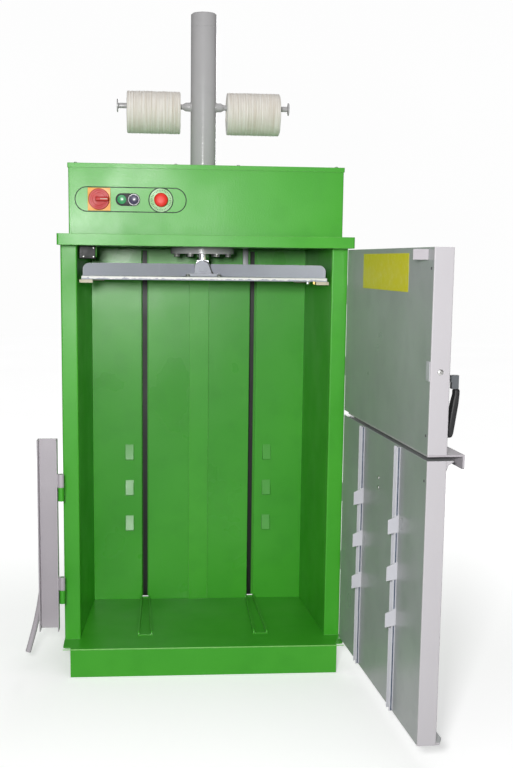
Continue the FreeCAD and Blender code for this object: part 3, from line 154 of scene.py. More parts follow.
def apply_modifier(piece: bpy.types.Object, kind: str, **settings: object) -> None:
    """Add a modifier with its settings and apply it."""
    make_active(piece)
    modifier = piece.modifiers.new(kind.title(), kind)
    for name, value in settings.items():
        setattr(modifier, name, value)
    bpy.ops.object.modifier_apply(modifier=modifier.name)


def soften(piece: bpy.types.Object, width: float, segments: int = 2, angle: float = 35) -> None:
    """Round the sharp edges of a piece and shade it smooth between them.

    Args:
        piece: the object to soften.
        width: the rounding's width.
        segments: how many faces the rounding has.
        angle: the least bend, in degrees, that counts as sharp.
    """
    apply_modifier(piece, "BEVEL", width=width, segments=segments, limit_method="ANGLE",
                   angle_limit=math.radians(angle), harden_normals=False)
    make_active(piece)
    bpy.ops.object.shade_smooth_by_angle(angle=math.radians(angle))


def slab(name: str, low: Sequence[float], high: Sequence[float]) -> bpy.types.Object:
    """A block between two corners, as the start of a piece.

    Args:
        name: the piece's name.
        low: the corner with the least coordinates.
        high: the corner opposite.

    Returns:
        The new object, settled.
    """
    clear_selection()
    middle = [(a + b) / 2 for a, b in zip(low, high)]
    bpy.ops.mesh.primitive_cube_add(size=1, location=middle)
    piece = bpy.context.object
    piece.name = name
    piece.scale = [b - a for a, b in zip(low, high)]
    return settle(piece)


def turned(name: str, profile: Profile, centre: Sequence[float], axis: Axis = Axis.Z,
           steps: int = 48) -> bpy.types.Object:
    """A round piece made by spinning an outline.

    Args:
        name: the piece's name.
        profile: (radius, height) points from one end of the outline to the other.
        centre: where the outline's height 0 stands.
        axis: the direction of the outline's height.
        steps: how many stations the spin makes.

    Returns:
        The new object, settled and facing outwards.
    """
    clear_selection()
    bpy.ops.mesh.primitive_plane_add(size=MM, location=(0, 0, 0))
    piece = bpy.context.object
    piece.name = name
    bpy.ops.object.mode_set(mode="EDIT")
    bpy.ops.mesh.select_mode(type="VERT")
    bpy.ops.mesh.select_all(action="SELECT")
    bpy.ops.mesh.merge(type="CENTER")
    here = (0.0, 0.0)
    for count, (radius, height) in enumerate(profile):
        step = (radius - here[0], 0, height - here[1])
        if count == 0:
            bpy.ops.transform.translate(value=step)
        else:
            bpy.ops.mesh.extrude_region_move(TRANSFORM_OT_translate={"value": step})
        here = (radius, height)
    bpy.ops.mesh.select_all(action="SELECT")
    bpy.ops.mesh.spin(steps=steps, angle=2 * math.pi, center=(0, 0, 0), axis=(0, 0, 1))
    bpy.ops.mesh.select_all(action="SELECT")
    bpy.ops.mesh.remove_doubles(threshold=1e-6)
    bpy.ops.mesh.normals_make_consistent(inside=False)
    end_edit()
    settle(piece, Matrix.Translation(centre) @ axis.turn())
    bpy.ops.object.shade_smooth_by_angle(angle=math.radians(32))
    return piece


def copy_piece(piece: bpy.types.Object, name: str, move: Matrix) -> bpy.types.Object:
    """A copy with its own mesh, moved in the row frame.

    Args:
        piece: the object to copy.
        name: the copy's name.
        move: where the copy goes from the original.

    Returns:
        The copy, settled.
    """
    make_active(piece)
    bpy.ops.object.duplicate(linked=False)
    other = bpy.context.object
    other.name = name
    return settle(other, move)


def join(name: str, pieces: Sequence[bpy.types.Object]) -> bpy.types.Object:
    """Several objects as one piece."""
    make_active(pieces[0])
    for piece in pieces[1:]:
        piece.select_set(True)
    bpy.ops.object.join()
    whole = bpy.context.object
    whole.name = name
    return whole


def repeat(first: bpy.types.Object, name: str,
           places: Sequence[Sequence[float]]) -> list[bpy.types.Object]:
    """Copies of a piece at places, instead of the piece itself.

    Args:
        first: the object to copy, which is taken out afterwards.
        name: the copies' name, before their number.
        places: where each copy goes.

    Returns:
        The copies in the order of the places.
    """
    copies = [copy_piece(first, f"{name}_{count}", Matrix.Translation(place))
              for count, place in enumerate(places, start=1)]
    bpy.data.objects.remove(first)
    return copies


def half_turn(centre: Sequence[float]) -> Matrix:
    """Half a turn about the upright line through a centre."""
    back = [-value for value in centre]
    return Matrix.Translation(centre) @ Matrix.Rotation(math.pi, 4, "Z") @ Matrix.Translation(back)


def sink_face(piece: bpy.types.Object, direction: Sequence[float], rim: float, drop: float) -> None:
    """Sink the faces that look one way, inside a rim.

    Args:
        piece: the object to work on.
        direction: the way that the faces look, one unit long.
        rim: the rim's width.
        drop: how far the inside sinks.
    """
    facing = Vector(direction)
    start_edit(piece)
    pick_faces(piece, lambda centre, normal: normal.dot(facing) > SQUARE_ON)
    bpy.ops.mesh.inset(thickness=rim)
    bpy.ops.transform.translate(value=tuple(-drop * facing))
    end_edit()


def stretch_ends(piece: bpy.types.Object, reach: float) -> None:
    """Pull a round piece apart along X, so that its ends stay half-round."""
    start_edit(piece)
    pick_points(piece, lambda place: place.x > ON_CENTRE)
    bpy.ops.transform.translate(value=(reach, 0, 0))
    pick_points(piece, lambda place: place.x < ON_CENTRE)
    bpy.ops.transform.translate(value=(-reach, 0, 0))
    end_edit()


def bolt(name: str, centre: Sequence[float], size: float, axis: Axis = Axis.Z,
         flip: bool = False) -> bpy.types.Object:
    """A hexagon head on its washer, with its underside at a centre.

    Args:
        name: the piece's name.
        centre: the middle of the washer's seat.
        size: the thread's diameter.
        axis: the way that the head rises.
        flip: True to rise against the axis instead.

    Returns:
        The new object.
    """
    outline = [(0, 0), (size * 1.05, 0), (size * 1.05, size * 0.16), (0, size * 0.16)]
    washer = turned(f"{name}_washer", outline, (0, 0, 0), steps=24)
    clear_selection()
    bpy.ops.mesh.primitive_cylinder_add(vertices=6, radius=size * 0.95, depth=size * 0.62,
                                        location=(0, 0, size * 0.47))
    head = bpy.context.object
    start_edit(head)
    pick_faces(head, lambda centre, normal: normal.z > SQUARE_ON)
    bpy.ops.mesh.inset(thickness=size * 0.12, depth=size * 0.06)
    end_edit()
    settle(head)
    soften(head, size * 0.04)
    piece = join(name, [washer, head])
    turn = axis.turn()
    if flip:
        turn = turn @ Matrix.Rotation(math.pi, 4, "X")
    return settle(piece, Matrix.Translation(centre) @ turn)


def weld(name: str, start: Sequence[float], end: Sequence[float], radius: float) -> bpy.types.Object:
    """A rippled weld bead.

    Args:
        name: the piece's name.
        start: the middle of the bead's first end.
        end: the middle of its other end.
        radius: half the bead's width.

    Returns:
        The new object.
    """
    first, last = Vector(start), Vector(end)
    length = (last - first).length
    ripples = max(4, round(length / (radius * 1.1)))
    profile = [(0.0, 0.0)]
    for count in range(ripples):
        low = length * count / ripples
        pitch = length / ripples
        profile += [(radius * 0.72, low + pitch * 0.08), (radius, low + pitch * 0.5)]
    profile += [(radius * 0.6, length), (0.0, length)]
    bead = turned(name, profile, (0, 0, 0), steps=8)
    turn = (last - first).to_track_quat("Z", "Y").to_matrix().to_4x4()
    return settle(bead, Matrix.Translation(first) @ turn)


def on_door() -> Matrix:
    """Move that takes a piece drawn from the hinge axis, doors shut, to the open doors."""
    return Matrix.Translation(DOOR_HINGE) @ Matrix.Rotation(DOOR_OPEN, 4, "Z")


# ---------------------------------------------------------------------------
# Finishes
# ---------------------------------------------------------------------------


class Board:
    """Node tree of one material, with short calls for the nodes that finishes share."""

    def __init__(self, name: str) -> None:
        """Start a material that has its shader and its object coordinates."""
        self.material = bpy.data.materials.new(name)
        self.material.use_nodes = True
        self.tree = self.material.node_tree
        self.shader = self.tree.nodes["Principled BSDF"]
        self.place = self.tree.nodes.new("ShaderNodeTexCoord").outputs["Object"]

    def add(self, kind: str, **inputs: object) -> bpy.types.Node:
        """Add a node. A value sets the input of that name, and a socket is linked to it."""
        node = self.tree.nodes.new(kind)
        for name, value in inputs.items():
            self.feed(value, node.inputs[name.replace("_", " ")])
        return node

    def feed(self, value: object, target: bpy.types.NodeSocket) -> None:
        """Link a socket to an input, or set the input to a plain value."""
        if isinstance(value, bpy.types.NodeSocket):
            self.tree.links.new(value, target)
        elif isinstance(value, tuple) and len(value) == 3 and target.type == "RGBA":
            target.default_value = (*value, 1.0)
        else:
            target.default_value = value

    def set(self, **inputs: object) -> None:
        """Set or link inputs of the shader itself."""
        for name, value in inputs.items():
            self.feed(value, self.shader.inputs[name.replace("_", " ")])

    def stretched(self, stretch: Colour) -> bpy.types.NodeSocket:
        """Object coordinates scaled along each axis."""
        mapping = self.add("ShaderNodeMapping", Vector=self.place)
        mapping.inputs["Scale"].default_value = stretch
        return mapping.outputs["Vector"]

    def noise(self, scale: float, detail: float = 2.0, stretch: Colour | None = None,
              roughness: float = 0.5) -> bpy.types.NodeSocket:
        """A noise of a number of features to the metre."""
        place = self.place if stretch is None else self.stretched(stretch)
        node = self.add("ShaderNodeTexNoise", Vector=place, Scale=scale, Detail=detail, Roughness=roughness)
        return node.outputs["Fac"]

    def span(self, source: bpy.types.NodeSocket, low: float, high: float, to_low: float = 0.0,
             to_high: float = 1.0) -> bpy.types.NodeSocket:
        """A source's range from low to high, as a range from to_low to to_high."""
        node = self.add("ShaderNodeMapRange", Value=source, From_Min=low, From_Max=high, To_Min=to_low,
                        To_Max=to_high)
        return node.outputs["Result"]

    def maths(self, kind: str, first: object, second: object = 0.0) -> bpy.types.NodeSocket:
        """One sum on two numbers or sockets."""
        node = self.tree.nodes.new("ShaderNodeMath")
        node.operation = kind
        self.feed(first, node.inputs[0])
        self.feed(second, node.inputs[1])
        return node.outputs[0]

    def blend(self, factor: object, first: object, second: object, kind: str = "MIX") -> bpy.types.NodeSocket:
        """A colour between two colours."""
        node = self.tree.nodes.new("ShaderNodeMix")
        node.data_type = "RGBA"
        node.blend_type = kind
        self.feed(factor, node.inputs[0])
        self.feed(first, node.inputs[6])
        self.feed(second, node.inputs[7])
        return node.outputs[2]

    def height(self) -> bpy.types.NodeSocket:
        """Height over the floor."""
        return self.add("ShaderNodeSeparateXYZ", Vector=self.place).outputs["Z"]

    def rounded_edge(self, radius: float) -> tuple[bpy.types.NodeSocket, bpy.types.NodeSocket]:
        """Normal of softened edges, and a mask that is 1 on them."""
        bevel = self.add("ShaderNodeBevel", Radius=radius)
        bevel.samples = 4
        geometry = self.add("ShaderNodeNewGeometry")
        dot = self.tree.nodes.new("ShaderNodeVectorMath")
        dot.operation = "DOT_PRODUCT"
        self.feed(bevel.outputs["Normal"], dot.inputs[0])
        self.feed(geometry.outputs["Normal"], dot.inputs[1])
        return bevel.outputs["Normal"], self.span(dot.outputs["Value"], 0.995, 0.86)

    def bump(self, height: bpy.types.NodeSocket, distance: float, strength: float = 1.0,
             normal: bpy.types.NodeSocket | None = None) -> bpy.types.NodeSocket:
        """A normal that follows a height."""
        node = self.add("ShaderNodeBump", Height=height, Distance=distance, Strength=strength)
        if normal is not None:
            self.feed(normal, node.inputs["Normal"])
        return node.outputs["Normal"]


class Finish:
    """A finish that is made once and shared by the pieces that wear it."""

    _made: dict[str, bpy.types.Material] = {}

    def material(self) -> bpy.types.Material:
        """The finish's material, made at its first use."""
        if self.name not in Finish._made:
            board = Board(self.name)
            self.draw(board)
            Finish._made[self.name] = board.material
        return Finish._made[self.name]

    def draw(self, board: Board) -> None:
        """Draw the finish on a board."""
        raise NotImplementedError

    def dress(self, *pieces: bpy.types.Object) -> None:
        """Put the finish on pieces in place of what they wore."""
        for piece in pieces:
            piece.data.materials.clear()
            piece.data.materials.append(self.material())


@dataclass(frozen=True)
class PowderCoat(Finish):
    """Textured powder coat on sheet steel, rubbed pale on its edges."""

    BRIGHT_STEEL = (0.9, 0.89, 0.86)
    # Painted shade for the unlit inside of a channel.
    CHANNEL_SHADE = (0.001, 0.003, 0.001)
    # Painted highlight for a flange that faces the lamp.
    FLANGE_HIGHLIGHT = (0.6, 0.57, 0.6)
    CHIP_FOOT = (1.1098, 1.1108)

    name: str
    colour: Colour
    faded: Colour
    shade: Colour
    edge: Colour
    roughness: float = 0.42
    peel: float = 420.0
    depth: float = 0.00022
    scuffs: float = 0.25
    wear: float = 0.55
    cloud: float = 0.3
    shine: float = 0.34
    bare_front: float | None = None
    # flange: depth in front of which the door's free-edge flange gets a painted highlight.
    flange: float | None = None
    # hollow: middle, half width and back of a channel whose inside gets painted shade.
    hollow: tuple[float, float, float] | None = None

    def sides(self, board: Board) -> tuple[bpy.types.NodeSocket, bpy.types.NodeSocket]:
        """Distance to the side of the centre plane, and depth from the front."""
        split = board.add("ShaderNodeSeparateXYZ", Vector=board.place)
        return board.maths("ABSOLUTE", split.outputs["X"]), split.outputs["Y"]

    def bare(self, board: Board, paint: bpy.types.NodeSocket) -> bpy.types.NodeSocket:
        """Paint knocked off the front edge, down to bright steel in ragged chips."""
        depth = self.sides(board)[1]
        ragged = board.span(board.noise(70.0, 4.0), 0.3, 0.7, -0.0016, 0.0022)
        chipped = board.span(board.maths("SUBTRACT", depth, ragged), self.bare_front + 0.0008,
                             self.bare_front)
        tall = board.maths("ADD", board.height(), board.maths("MULTIPLY", ragged, 1.4))
        chipped = board.maths("MULTIPLY", chipped, board.span(tall, *self.CHIP_FOOT))
        return board.blend(chipped, paint, self.BRIGHT_STEEL)

    def unlit(self, board: Board, paint: bpy.types.NodeSocket) -> bpy.types.NodeSocket:
        """Painted shade that blackens the unlit inside of a narrow channel."""
        middle, half, back = self.hollow
        side, depth = self.sides(board)
        off_middle = board.maths("ABSOLUTE", board.maths("SUBTRACT", side, middle))
        across = board.span(off_middle, half, half - 0.0025)
        inside = board.maths("MULTIPLY", across, board.span(depth, back, back - 0.0004))
        return board.blend(inside, paint, self.CHANNEL_SHADE)

    def draw(self, board: Board) -> None:
        """Draw mottled paint, scuffs, orange peel and rubbed edges, with a painted highlight on a flange and
        painted shade inside a channel where these are set.
        """
        broad = board.span(board.noise(2.2, 3.0), 0.35, 0.68)
        paint = board.blend(broad, self.colour, self.faded)
        cloud = board.span(board.noise(14.0, 4.0), 0.5, 0.78, 0.0, self.cloud)
        paint = board.blend(cloud, paint, self.shade)
        fine = board.noise(self.peel, 2.0)
        paint = board.blend(board.span(fine, 0.35, 0.75, 0.0, 0.22), paint, self.faded)
        streak = board.noise(26.0, 3.0, (5.0, 5.0, 0.5))
        streak = board.span(streak, 0.66, 0.74, 0.0, self.scuffs)
        paint = board.blend(streak, paint, self.faded)
        normal, edge = board.rounded_edge(0.0022)
        chips = board.span(board.noise(95.0, 4.0), 0.46, 0.62)
        rub = board.maths("MULTIPLY", edge, board.maths("MULTIPLY_ADD", chips, 0.6))
        rub = board.maths("MULTIPLY", rub, self.wear)
        paint = board.blend(rub, paint, self.edge)
        if self.bare_front is not None:
            paint = self.bare(board, paint)
        # Painted highlight: the door's free-edge flange, which faces the lamp, is drawn paler than the inner
        # face.
        if self.flange is not None:
            on_flange = board.span(self.sides(board)[1], self.flange + 0.0004, self.flange, 0.0, 0.8)
            paint = board.blend(on_flange, paint, self.FLANGE_HIGHLIGHT)
        # Painted shade inside the strap channels.
        if self.hollow is not None:
            paint = self.unlit(board, paint)
        board.set(Base_Color=paint, Specular_IOR_Level=self.shine)
        gloss = board.span(board.noise(6.0, 3.0), 0.3, 0.7, self.roughness - 0.05, self.roughness + 0.08)
        board.set(Roughness=gloss)
        grain = board.maths("ADD", fine, board.maths("MULTIPLY", board.noise(self.peel / 3.2, 1.0), 1.6))
        board.set(Normal=board.bump(grain, self.depth, 0.55, normal))


@dataclass(frozen=True)
class BareSteel(Finish):
    """Plated or ground steel, with fine lines along one direction."""

    name: str
    colour: Colour
    tarnish: Colour
    roughness: float = 0.28
    lines: Colour = (900.0, 900.0, 30.0)

    def draw(self, board: Board) -> None:
        """Draw metal with drawn lines and a little tarnish."""
        dull = board.span(board.noise(60.0, 4.0), 0.45, 0.75, 0.0, 0.8)
        board.set(Base_Color=board.blend(dull, self.colour, self.tarnish), Metallic=1.0)
        line = board.noise(1.0, 3.0, self.lines)
        board.set(Roughness=board.span(line, 0.3, 0.7, self.roughness - 0.08, self.roughness + 0.12))
        normal, _ = board.rounded_edge(0.0006)
        board.set(Normal=board.bump(line, 0.00003, 0.5, normal))


@dataclass(frozen=True)
class CastMetal(Finish):
    """Rough cast or painted machine metal."""

    name: str
    colour: Colour
    dust: Colour
    roughness: float = 0.6
    metallic: float = 0.0

    def draw(self, board: Board) -> None:
        """Draw a sandy skin with dust in its hollows."""
        grain = board.noise(240.0, 4.0)
        broad = board.span(board.noise(9.0, 3.0), 0.4, 0.75)
        dusty = board.maths("MULTIPLY", broad, board.span(grain, 0.6, 0.35))
        board.set(Base_Color=board.blend(dusty, self.colour, self.dust), Metallic=self.metallic)
        board.set(Roughness=board.span(grain, 0.3, 0.7, self.roughness - 0.08, self.roughness + 0.12))
        normal, _ = board.rounded_edge(0.0012)
        board.set(Normal=board.bump(grain, 0.0004, 0.6, normal))


@dataclass(frozen=True)
class MouldedPlastic(Finish):
    """Moulded plastic with a fine spark-eroded skin."""

    name: str
    colour: Colour
    worn: Colour
    roughness: float = 0.35
    grain: float = 1400.0
    depth: float = 0.00004

    def draw(self, board: Board) -> None:
        """Draw plastic with faint handling marks."""
        skin = board.noise(self.grain, 2.0)
        marks = board.span(board.noise(45.0, 5.0), 0.52, 0.72, 0.0, 0.6)
        normal, edge = board.rounded_edge(0.0006)
        rub = board.maths("MAXIMUM", marks, board.maths("MULTIPLY", edge, 0.35))
        board.set(Base_Color=board.blend(rub, self.colour, self.worn))
        board.set(Roughness=board.span(board.noise(30.0, 3.0), 0.3, 0.7, self.roughness - 0.06,
                                       self.roughness + 0.12))
        board.set(Normal=board.bump(skin, self.depth, 0.6, normal))


@dataclass(frozen=True)
class WoundTwine(Finish):
    """Pale twine laid in close turns round an axis along X."""

    name: str
    colour: Colour
    # Darker tone for some turns, and painted shade in the grooves between the turns.
    tone_and_groove_shade: Colour
    pitch: float = 0.0017

    def draw(self, board: Board) -> None:
        """Draw close turns that wander a little, each with its own twist."""
        wave = board.add("ShaderNodeTexWave", Vector=board.place, Scale=0.31416 / self.pitch / 2,
                         Distortion=0.9, Detail=2.0, Detail_Scale=1.5)
        wave.wave_type = "BANDS"
        wave.bands_direction = "X"
        turns = wave.outputs["Fac"]
        fuzz = board.noise(1500.0, 3.0, (1.0, 0.35, 0.35))
        tone = board.blend(board.span(board.noise(1.0, 2.0, (260.0, 8.0, 8.0)), 0.35, 0.7), self.colour, self.tone_and_groove_shade)
        # Painted shade in the grooves between the turns.
        tone = board.blend(board.span(turns, 0.35, 0.0, 0.0, 0.55), tone, self.tone_and_groove_shade)
        board.set(Base_Color=tone, Roughness=0.62, Sheen_Weight=0.25, Sheen_Roughness=0.5)
        height = board.maths("ADD", turns, board.maths("MULTIPLY", fuzz, 0.5))
        board.set(Normal=board.bump(height, 0.0006, 0.8))


@dataclass(frozen=True)
class PlateGloss(Finish):
    """Flat sticker or printed line, thin and slightly glossy."""

    name: str
    colour: Colour
    faded: Colour
    roughness: float = 0.4

    def draw(self, board: Board) -> None:
        """Draw an even print with light scuffs."""
        marks = board.span(board.noise(80.0, 4.0), 0.5, 0.75, 0.0, 0.7)
        board.set(Base_Color=board.blend(marks, self.colour, self.faded))
        board.set(Roughness=board.span(board.noise(40.0, 3.0), 0.3, 0.7, self.roughness - 0.08,
                                       self.roughness + 0.1))
        board.set(Normal=board.bump(board.noise(500.0, 2.0), 0.00005, 0.4))


GREEN = PowderCoat("green_coat", (0.042, 0.36, 0.014), (0.07, 0.44, 0.028), (0.028, 0.27, 0.008),
                   (0.4, 0.75, 0.28), roughness=0.33, peel=800.0, depth=0.0002)
POST_GREEN = replace(GREEN, name="post_green_coat", edge=(0.6, 0.85, 0.5), wear=1.0)
WALL_GREEN = PowderCoat("wall_green_coat", (0.036, 0.33, 0.012), (0.06, 0.41, 0.024), (0.022, 0.24, 0.007),
                        (0.02, 0.2, 0.008), roughness=0.3, peel=800.0, depth=0.0002, wear=0.7)
# Strap channels: painted shade blackens their inside behind the slots.
CHANNEL_GREEN = replace(GREEN, name="channel_green_coat", edge=(0.3, 0.65, 0.2), roughness=0.42, peel=420.0,
                        depth=0.00022, hollow=(0.168, 0.0088, 0.5222))
# Doors: darker than GREY as painted shade on inner faces that the lamp only grazes, with a greener tint; the
# free-edge flange gets a painted highlight.
SHADED_DOOR_GREY = PowderCoat("shaded_door_grey_coat", (0.33, 0.345, 0.345), (0.43, 0.45, 0.45), (0.24, 0.26, 0.26),
                       (0.7, 0.69, 0.7), roughness=0.32, scuffs=0.3, flange=-0.7104)
GREY = PowderCoat("grey_coat", (0.45, 0.42, 0.45), (0.55, 0.52, 0.55), (0.36, 0.34, 0.36),
                  (0.75, 0.73, 0.75), roughness=0.38, scuffs=0.3)
PRESS_GREY = PowderCoat("press_grey_coat", (0.42, 0.43, 0.5), (0.52, 0.53, 0.6), (0.3, 0.31, 0.36),
                        (0.85, 0.85, 0.87), roughness=0.36, scuffs=0.4, wear=1.0)
TUBE_GREY = PowderCoat("tube_grey_coat", (0.42, 0.41, 0.42), (0.5, 0.49, 0.5), (0.35, 0.34, 0.35),
                       (0.7, 0.7, 0.7), roughness=0.22, peel=300.0, scuffs=0.1)
PLATEN_GREY = replace(PRESS_GREY, name="platen_grey_coat", colour=(0.4, 0.42, 0.5), faded=(0.5, 0.52, 0.6),
                      bare_front=0.1012)
GUIDE_GREY = PowderCoat("guide_grey_coat", (0.52, 0.52, 0.56), (0.62, 0.62, 0.66), (0.42, 0.42, 0.46),
                        (0.85, 0.85, 0.86), roughness=0.34, wear=0.9)
DARK = PowderCoat("dark_coat", (0.1, 0.11, 0.12), (0.16, 0.17, 0.18), (0.06, 0.065, 0.07), (0.35, 0.35, 0.36))
ZINC = BareSteel("zinc_plate", (0.5, 0.5, 0.49), (0.3, 0.29, 0.27), 0.42)
CHROME = BareSteel("chrome_plate", (0.85, 0.86, 0.88), (0.6, 0.61, 0.64), 0.14, (400.0, 400.0, 1200.0))
IRON = CastMetal("cast_iron", (0.09, 0.09, 0.095), (0.25, 0.24, 0.22), 0.6, 0.3)
ALUMINIUM = CastMetal("cast_aluminium", (0.6, 0.6, 0.62), (0.4, 0.4, 0.4), 0.42, 1.0)
YELLOW = MouldedPlastic("yellow_plastic", (0.86, 0.36, 0.015), (0.8, 0.42, 0.06), 0.42)
RED = MouldedPlastic("red_plastic", (0.5, 0.008, 0.006), (0.58, 0.02, 0.014), 0.42)
RED_STOP = MouldedPlastic("red_stop", (0.8, 0.025, 0.014), (0.82, 0.05, 0.03), 0.42)
GREEN_CAP = MouldedPlastic("green_cap", (0.02, 0.3, 0.09), (0.08, 0.42, 0.18), 0.25)
BLACK = MouldedPlastic("black_plastic", (0.006, 0.006, 0.007), (0.022, 0.022, 0.023), 0.5)
NIGHT_CAP = MouldedPlastic("dark_cap", (0.05, 0.045, 0.09), (0.12, 0.11, 0.2), 0.2)
CREAM = MouldedPlastic("cream_plastic", (0.62, 0.56, 0.42), (0.42, 0.37, 0.26), 0.5)
RUBBER = MouldedPlastic("black_rubber", (0.015, 0.015, 0.016), (0.05, 0.05, 0.05), 0.6, 600.0, 0.0001)
TWINE = WoundTwine("wound_twine", (0.93, 0.91, 0.87), (0.72, 0.66, 0.58))
PRINT = PlateGloss("dark_green_print", (0.004, 0.035, 0.006), (0.008, 0.06, 0.012), 0.6)
DISC = PlateGloss("pale_disc", (0.25, 0.56, 0.2), (0.38, 0.66, 0.32))
# Painted shade along the door's strap guides.
GUIDE_SHADE_BLUE = PlateGloss("guide_shade", (0.06, 0.08, 0.12), (0.2, 0.24, 0.3))
# Painted highlight along the floor plate's folded front edge.
FOLD_HIGHLIGHT = PlateGloss("painted_fold_highlight", (0.22, 0.62, 0.13), (0.4, 0.75, 0.3))
BRASS = BareSteel("brass_plate", (0.8, 0.58, 0.2), (0.55, 0.4, 0.16), 0.3)
YELLOW_FIELD = PlateGloss("yellow_field", (0.8, 0.72, 0.0), (0.85, 0.8, 0.2))

SLOT_COATS: dict[str, Finish] = {
    "green_paint": GREEN, "grey_paint": GREY, "zinc_steel": ZINC, "chrome_rod": CHROME,
    "cast_iron": IRON, "aluminium": ALUMINIUM, "dark_paint": DARK, "yellow_plastic": YELLOW,
    "red_plastic": RED, "pale_plastic": DISC, "green_plastic": GREEN_CAP, "black_plastic": BLACK,
    "black_rubber": RUBBER, "twine": TWINE, "cream_plastic": CREAM,
}
NODE_COATS: dict[str, Finish] = {
    "platen_ribs": PRESS_GREY, "platen_clevis": PRESS_GREY, "clevis_pin": PRESS_GREY,
    "platen_plate": PLATEN_GREY, "door_strap_guides": GUIDE_GREY, "back_wall": WALL_GREEN,
    "left_post": POST_GREEN, "right_post": POST_GREEN, "lower_door": SHADED_DOOR_GREY,
    "upper_door": SHADED_DOOR_GREY, "door_handle": DARK, "strap_channels": CHANNEL_GREEN,
    "cylinder_tube": TUBE_GREY, "cylinder_cap": TUBE_GREY, "cylinder_flange": TUBE_GREY,
    "spool_pins": TUBE_GREY,
}


# ---------------------------------------------------------------------------
# Sub-assemblies
# ---------------------------------------------------------------------------


class SubAssembly:
    """A group of pieces that is modelled and dressed together."""

    def build(self) -> None:
        """Model and dress the pieces."""
        raise NotImplementedError

    def keep(self, piece: bpy.types.Object, body: str, slot: str, finish: Finish,
             *nodes: str) -> bpy.types.Object:
        """Dress a finished piece and hand it to its body.

        Args:
            piece: the finished object.
            body: the CAD body that it moves with.
            slot: the record's material slot; not used.
            finish: what it wears.
            nodes: CAD nodes that it stands for.

        Returns:
            The same object.
        """
        finish.dress(piece)
        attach(piece, body)
        if nodes:
            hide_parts(*nodes)
        LOG.info("%s rides on %s", piece.name, body)
        return piece


class SheetMetal(SubAssembly):
    """Coats for the nodes whose CAD shape is shown as it is."""

    def build(self) -> None:
        """Dress every CAD node by its material slot, then the exceptions."""
        for row in frame["record"]["subparts"]:
            SLOT_COATS[row["material_slot"]].dress(frame["nodes"][row["node"]])
        for node, finish in NODE_COATS.items():
            finish.dress(frame["nodes"][node])
        LOG.info("dressed %d frame nodes", len(frame["nodes"]))


@dataclass
class TwineSpools(SubAssembly):
    """Two wound spools that hang on the pins of the cylinder."""

    turns: int = 62
    ridge: float = 0.0009
    shoulder: float = 0.004
    bore: float = 0.0252
    steps: int = 72

    def outline(self, length: float, radius: float) -> list[tuple[float, float]]:
        """Closed outline of a spool: wound outside, coiled ends and a plain core."""
        points = [(self.bore, 0.0)]
        rings = 8
        for ring in range(1, rings):
            reach = self.bore + (radius - self.shoulder - self.bore) * ring / rings
            points.append((reach, 0.0014 if ring % 2 else 0.0))
        points.append((radius - self.shoulder, 0.0006))
        points.append((radius - self.shoulder * 0.3, self.shoulder * 0.4))
        pitch = (length - 2 * self.shoulder) / self.turns
        for turn in range(self.turns):
            station = self.shoulder + pitch * (turn + 0.5)
            swell = self.ridge * 0.7 * math.sin(turn * 1.7) * math.sin(turn * 0.37)
            points.append((radius - self.ridge * 1.6 + swell, station - pitch * 0.5))
            points.append((radius - self.ridge * 0.4 + swell, station))
        points.append((radius - self.shoulder * 0.3, length - self.shoulder * 0.4))
        for ring in range(rings, 0, -1):
            reach = self.bore + (radius - self.shoulder - self.bore) * ring / rings
            points.append((reach, length - (0.0014 if ring % 2 else 0.0)))
        points += [(self.bore, length), (self.bore, 0.0)]
        return points

    def build(self) -> None:
        """Wind each spool over its CAD sleeve and lump it slightly."""
        lumps = bpy.data.textures.new("twine_lumps", "CLOUDS")
        lumps.noise_scale = 0.02
        for node in ("spool_left", "spool_right"):
            low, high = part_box(node)
            centre = (low.x, (low.y + high.y) / 2, (low.z + high.z) / 2)
            spool = turned(f"twine_{node}", self.outline(high.x - low.x, (high.z - low.z) / 2), centre,
                           Axis.X, self.steps)
            apply_modifier(spool, "DISPLACE", texture=lumps, strength=0.0018, mid_level=0.62,
                           texture_coords="LOCAL")
            self.keep(spool, node, "twine", TWINE, node)


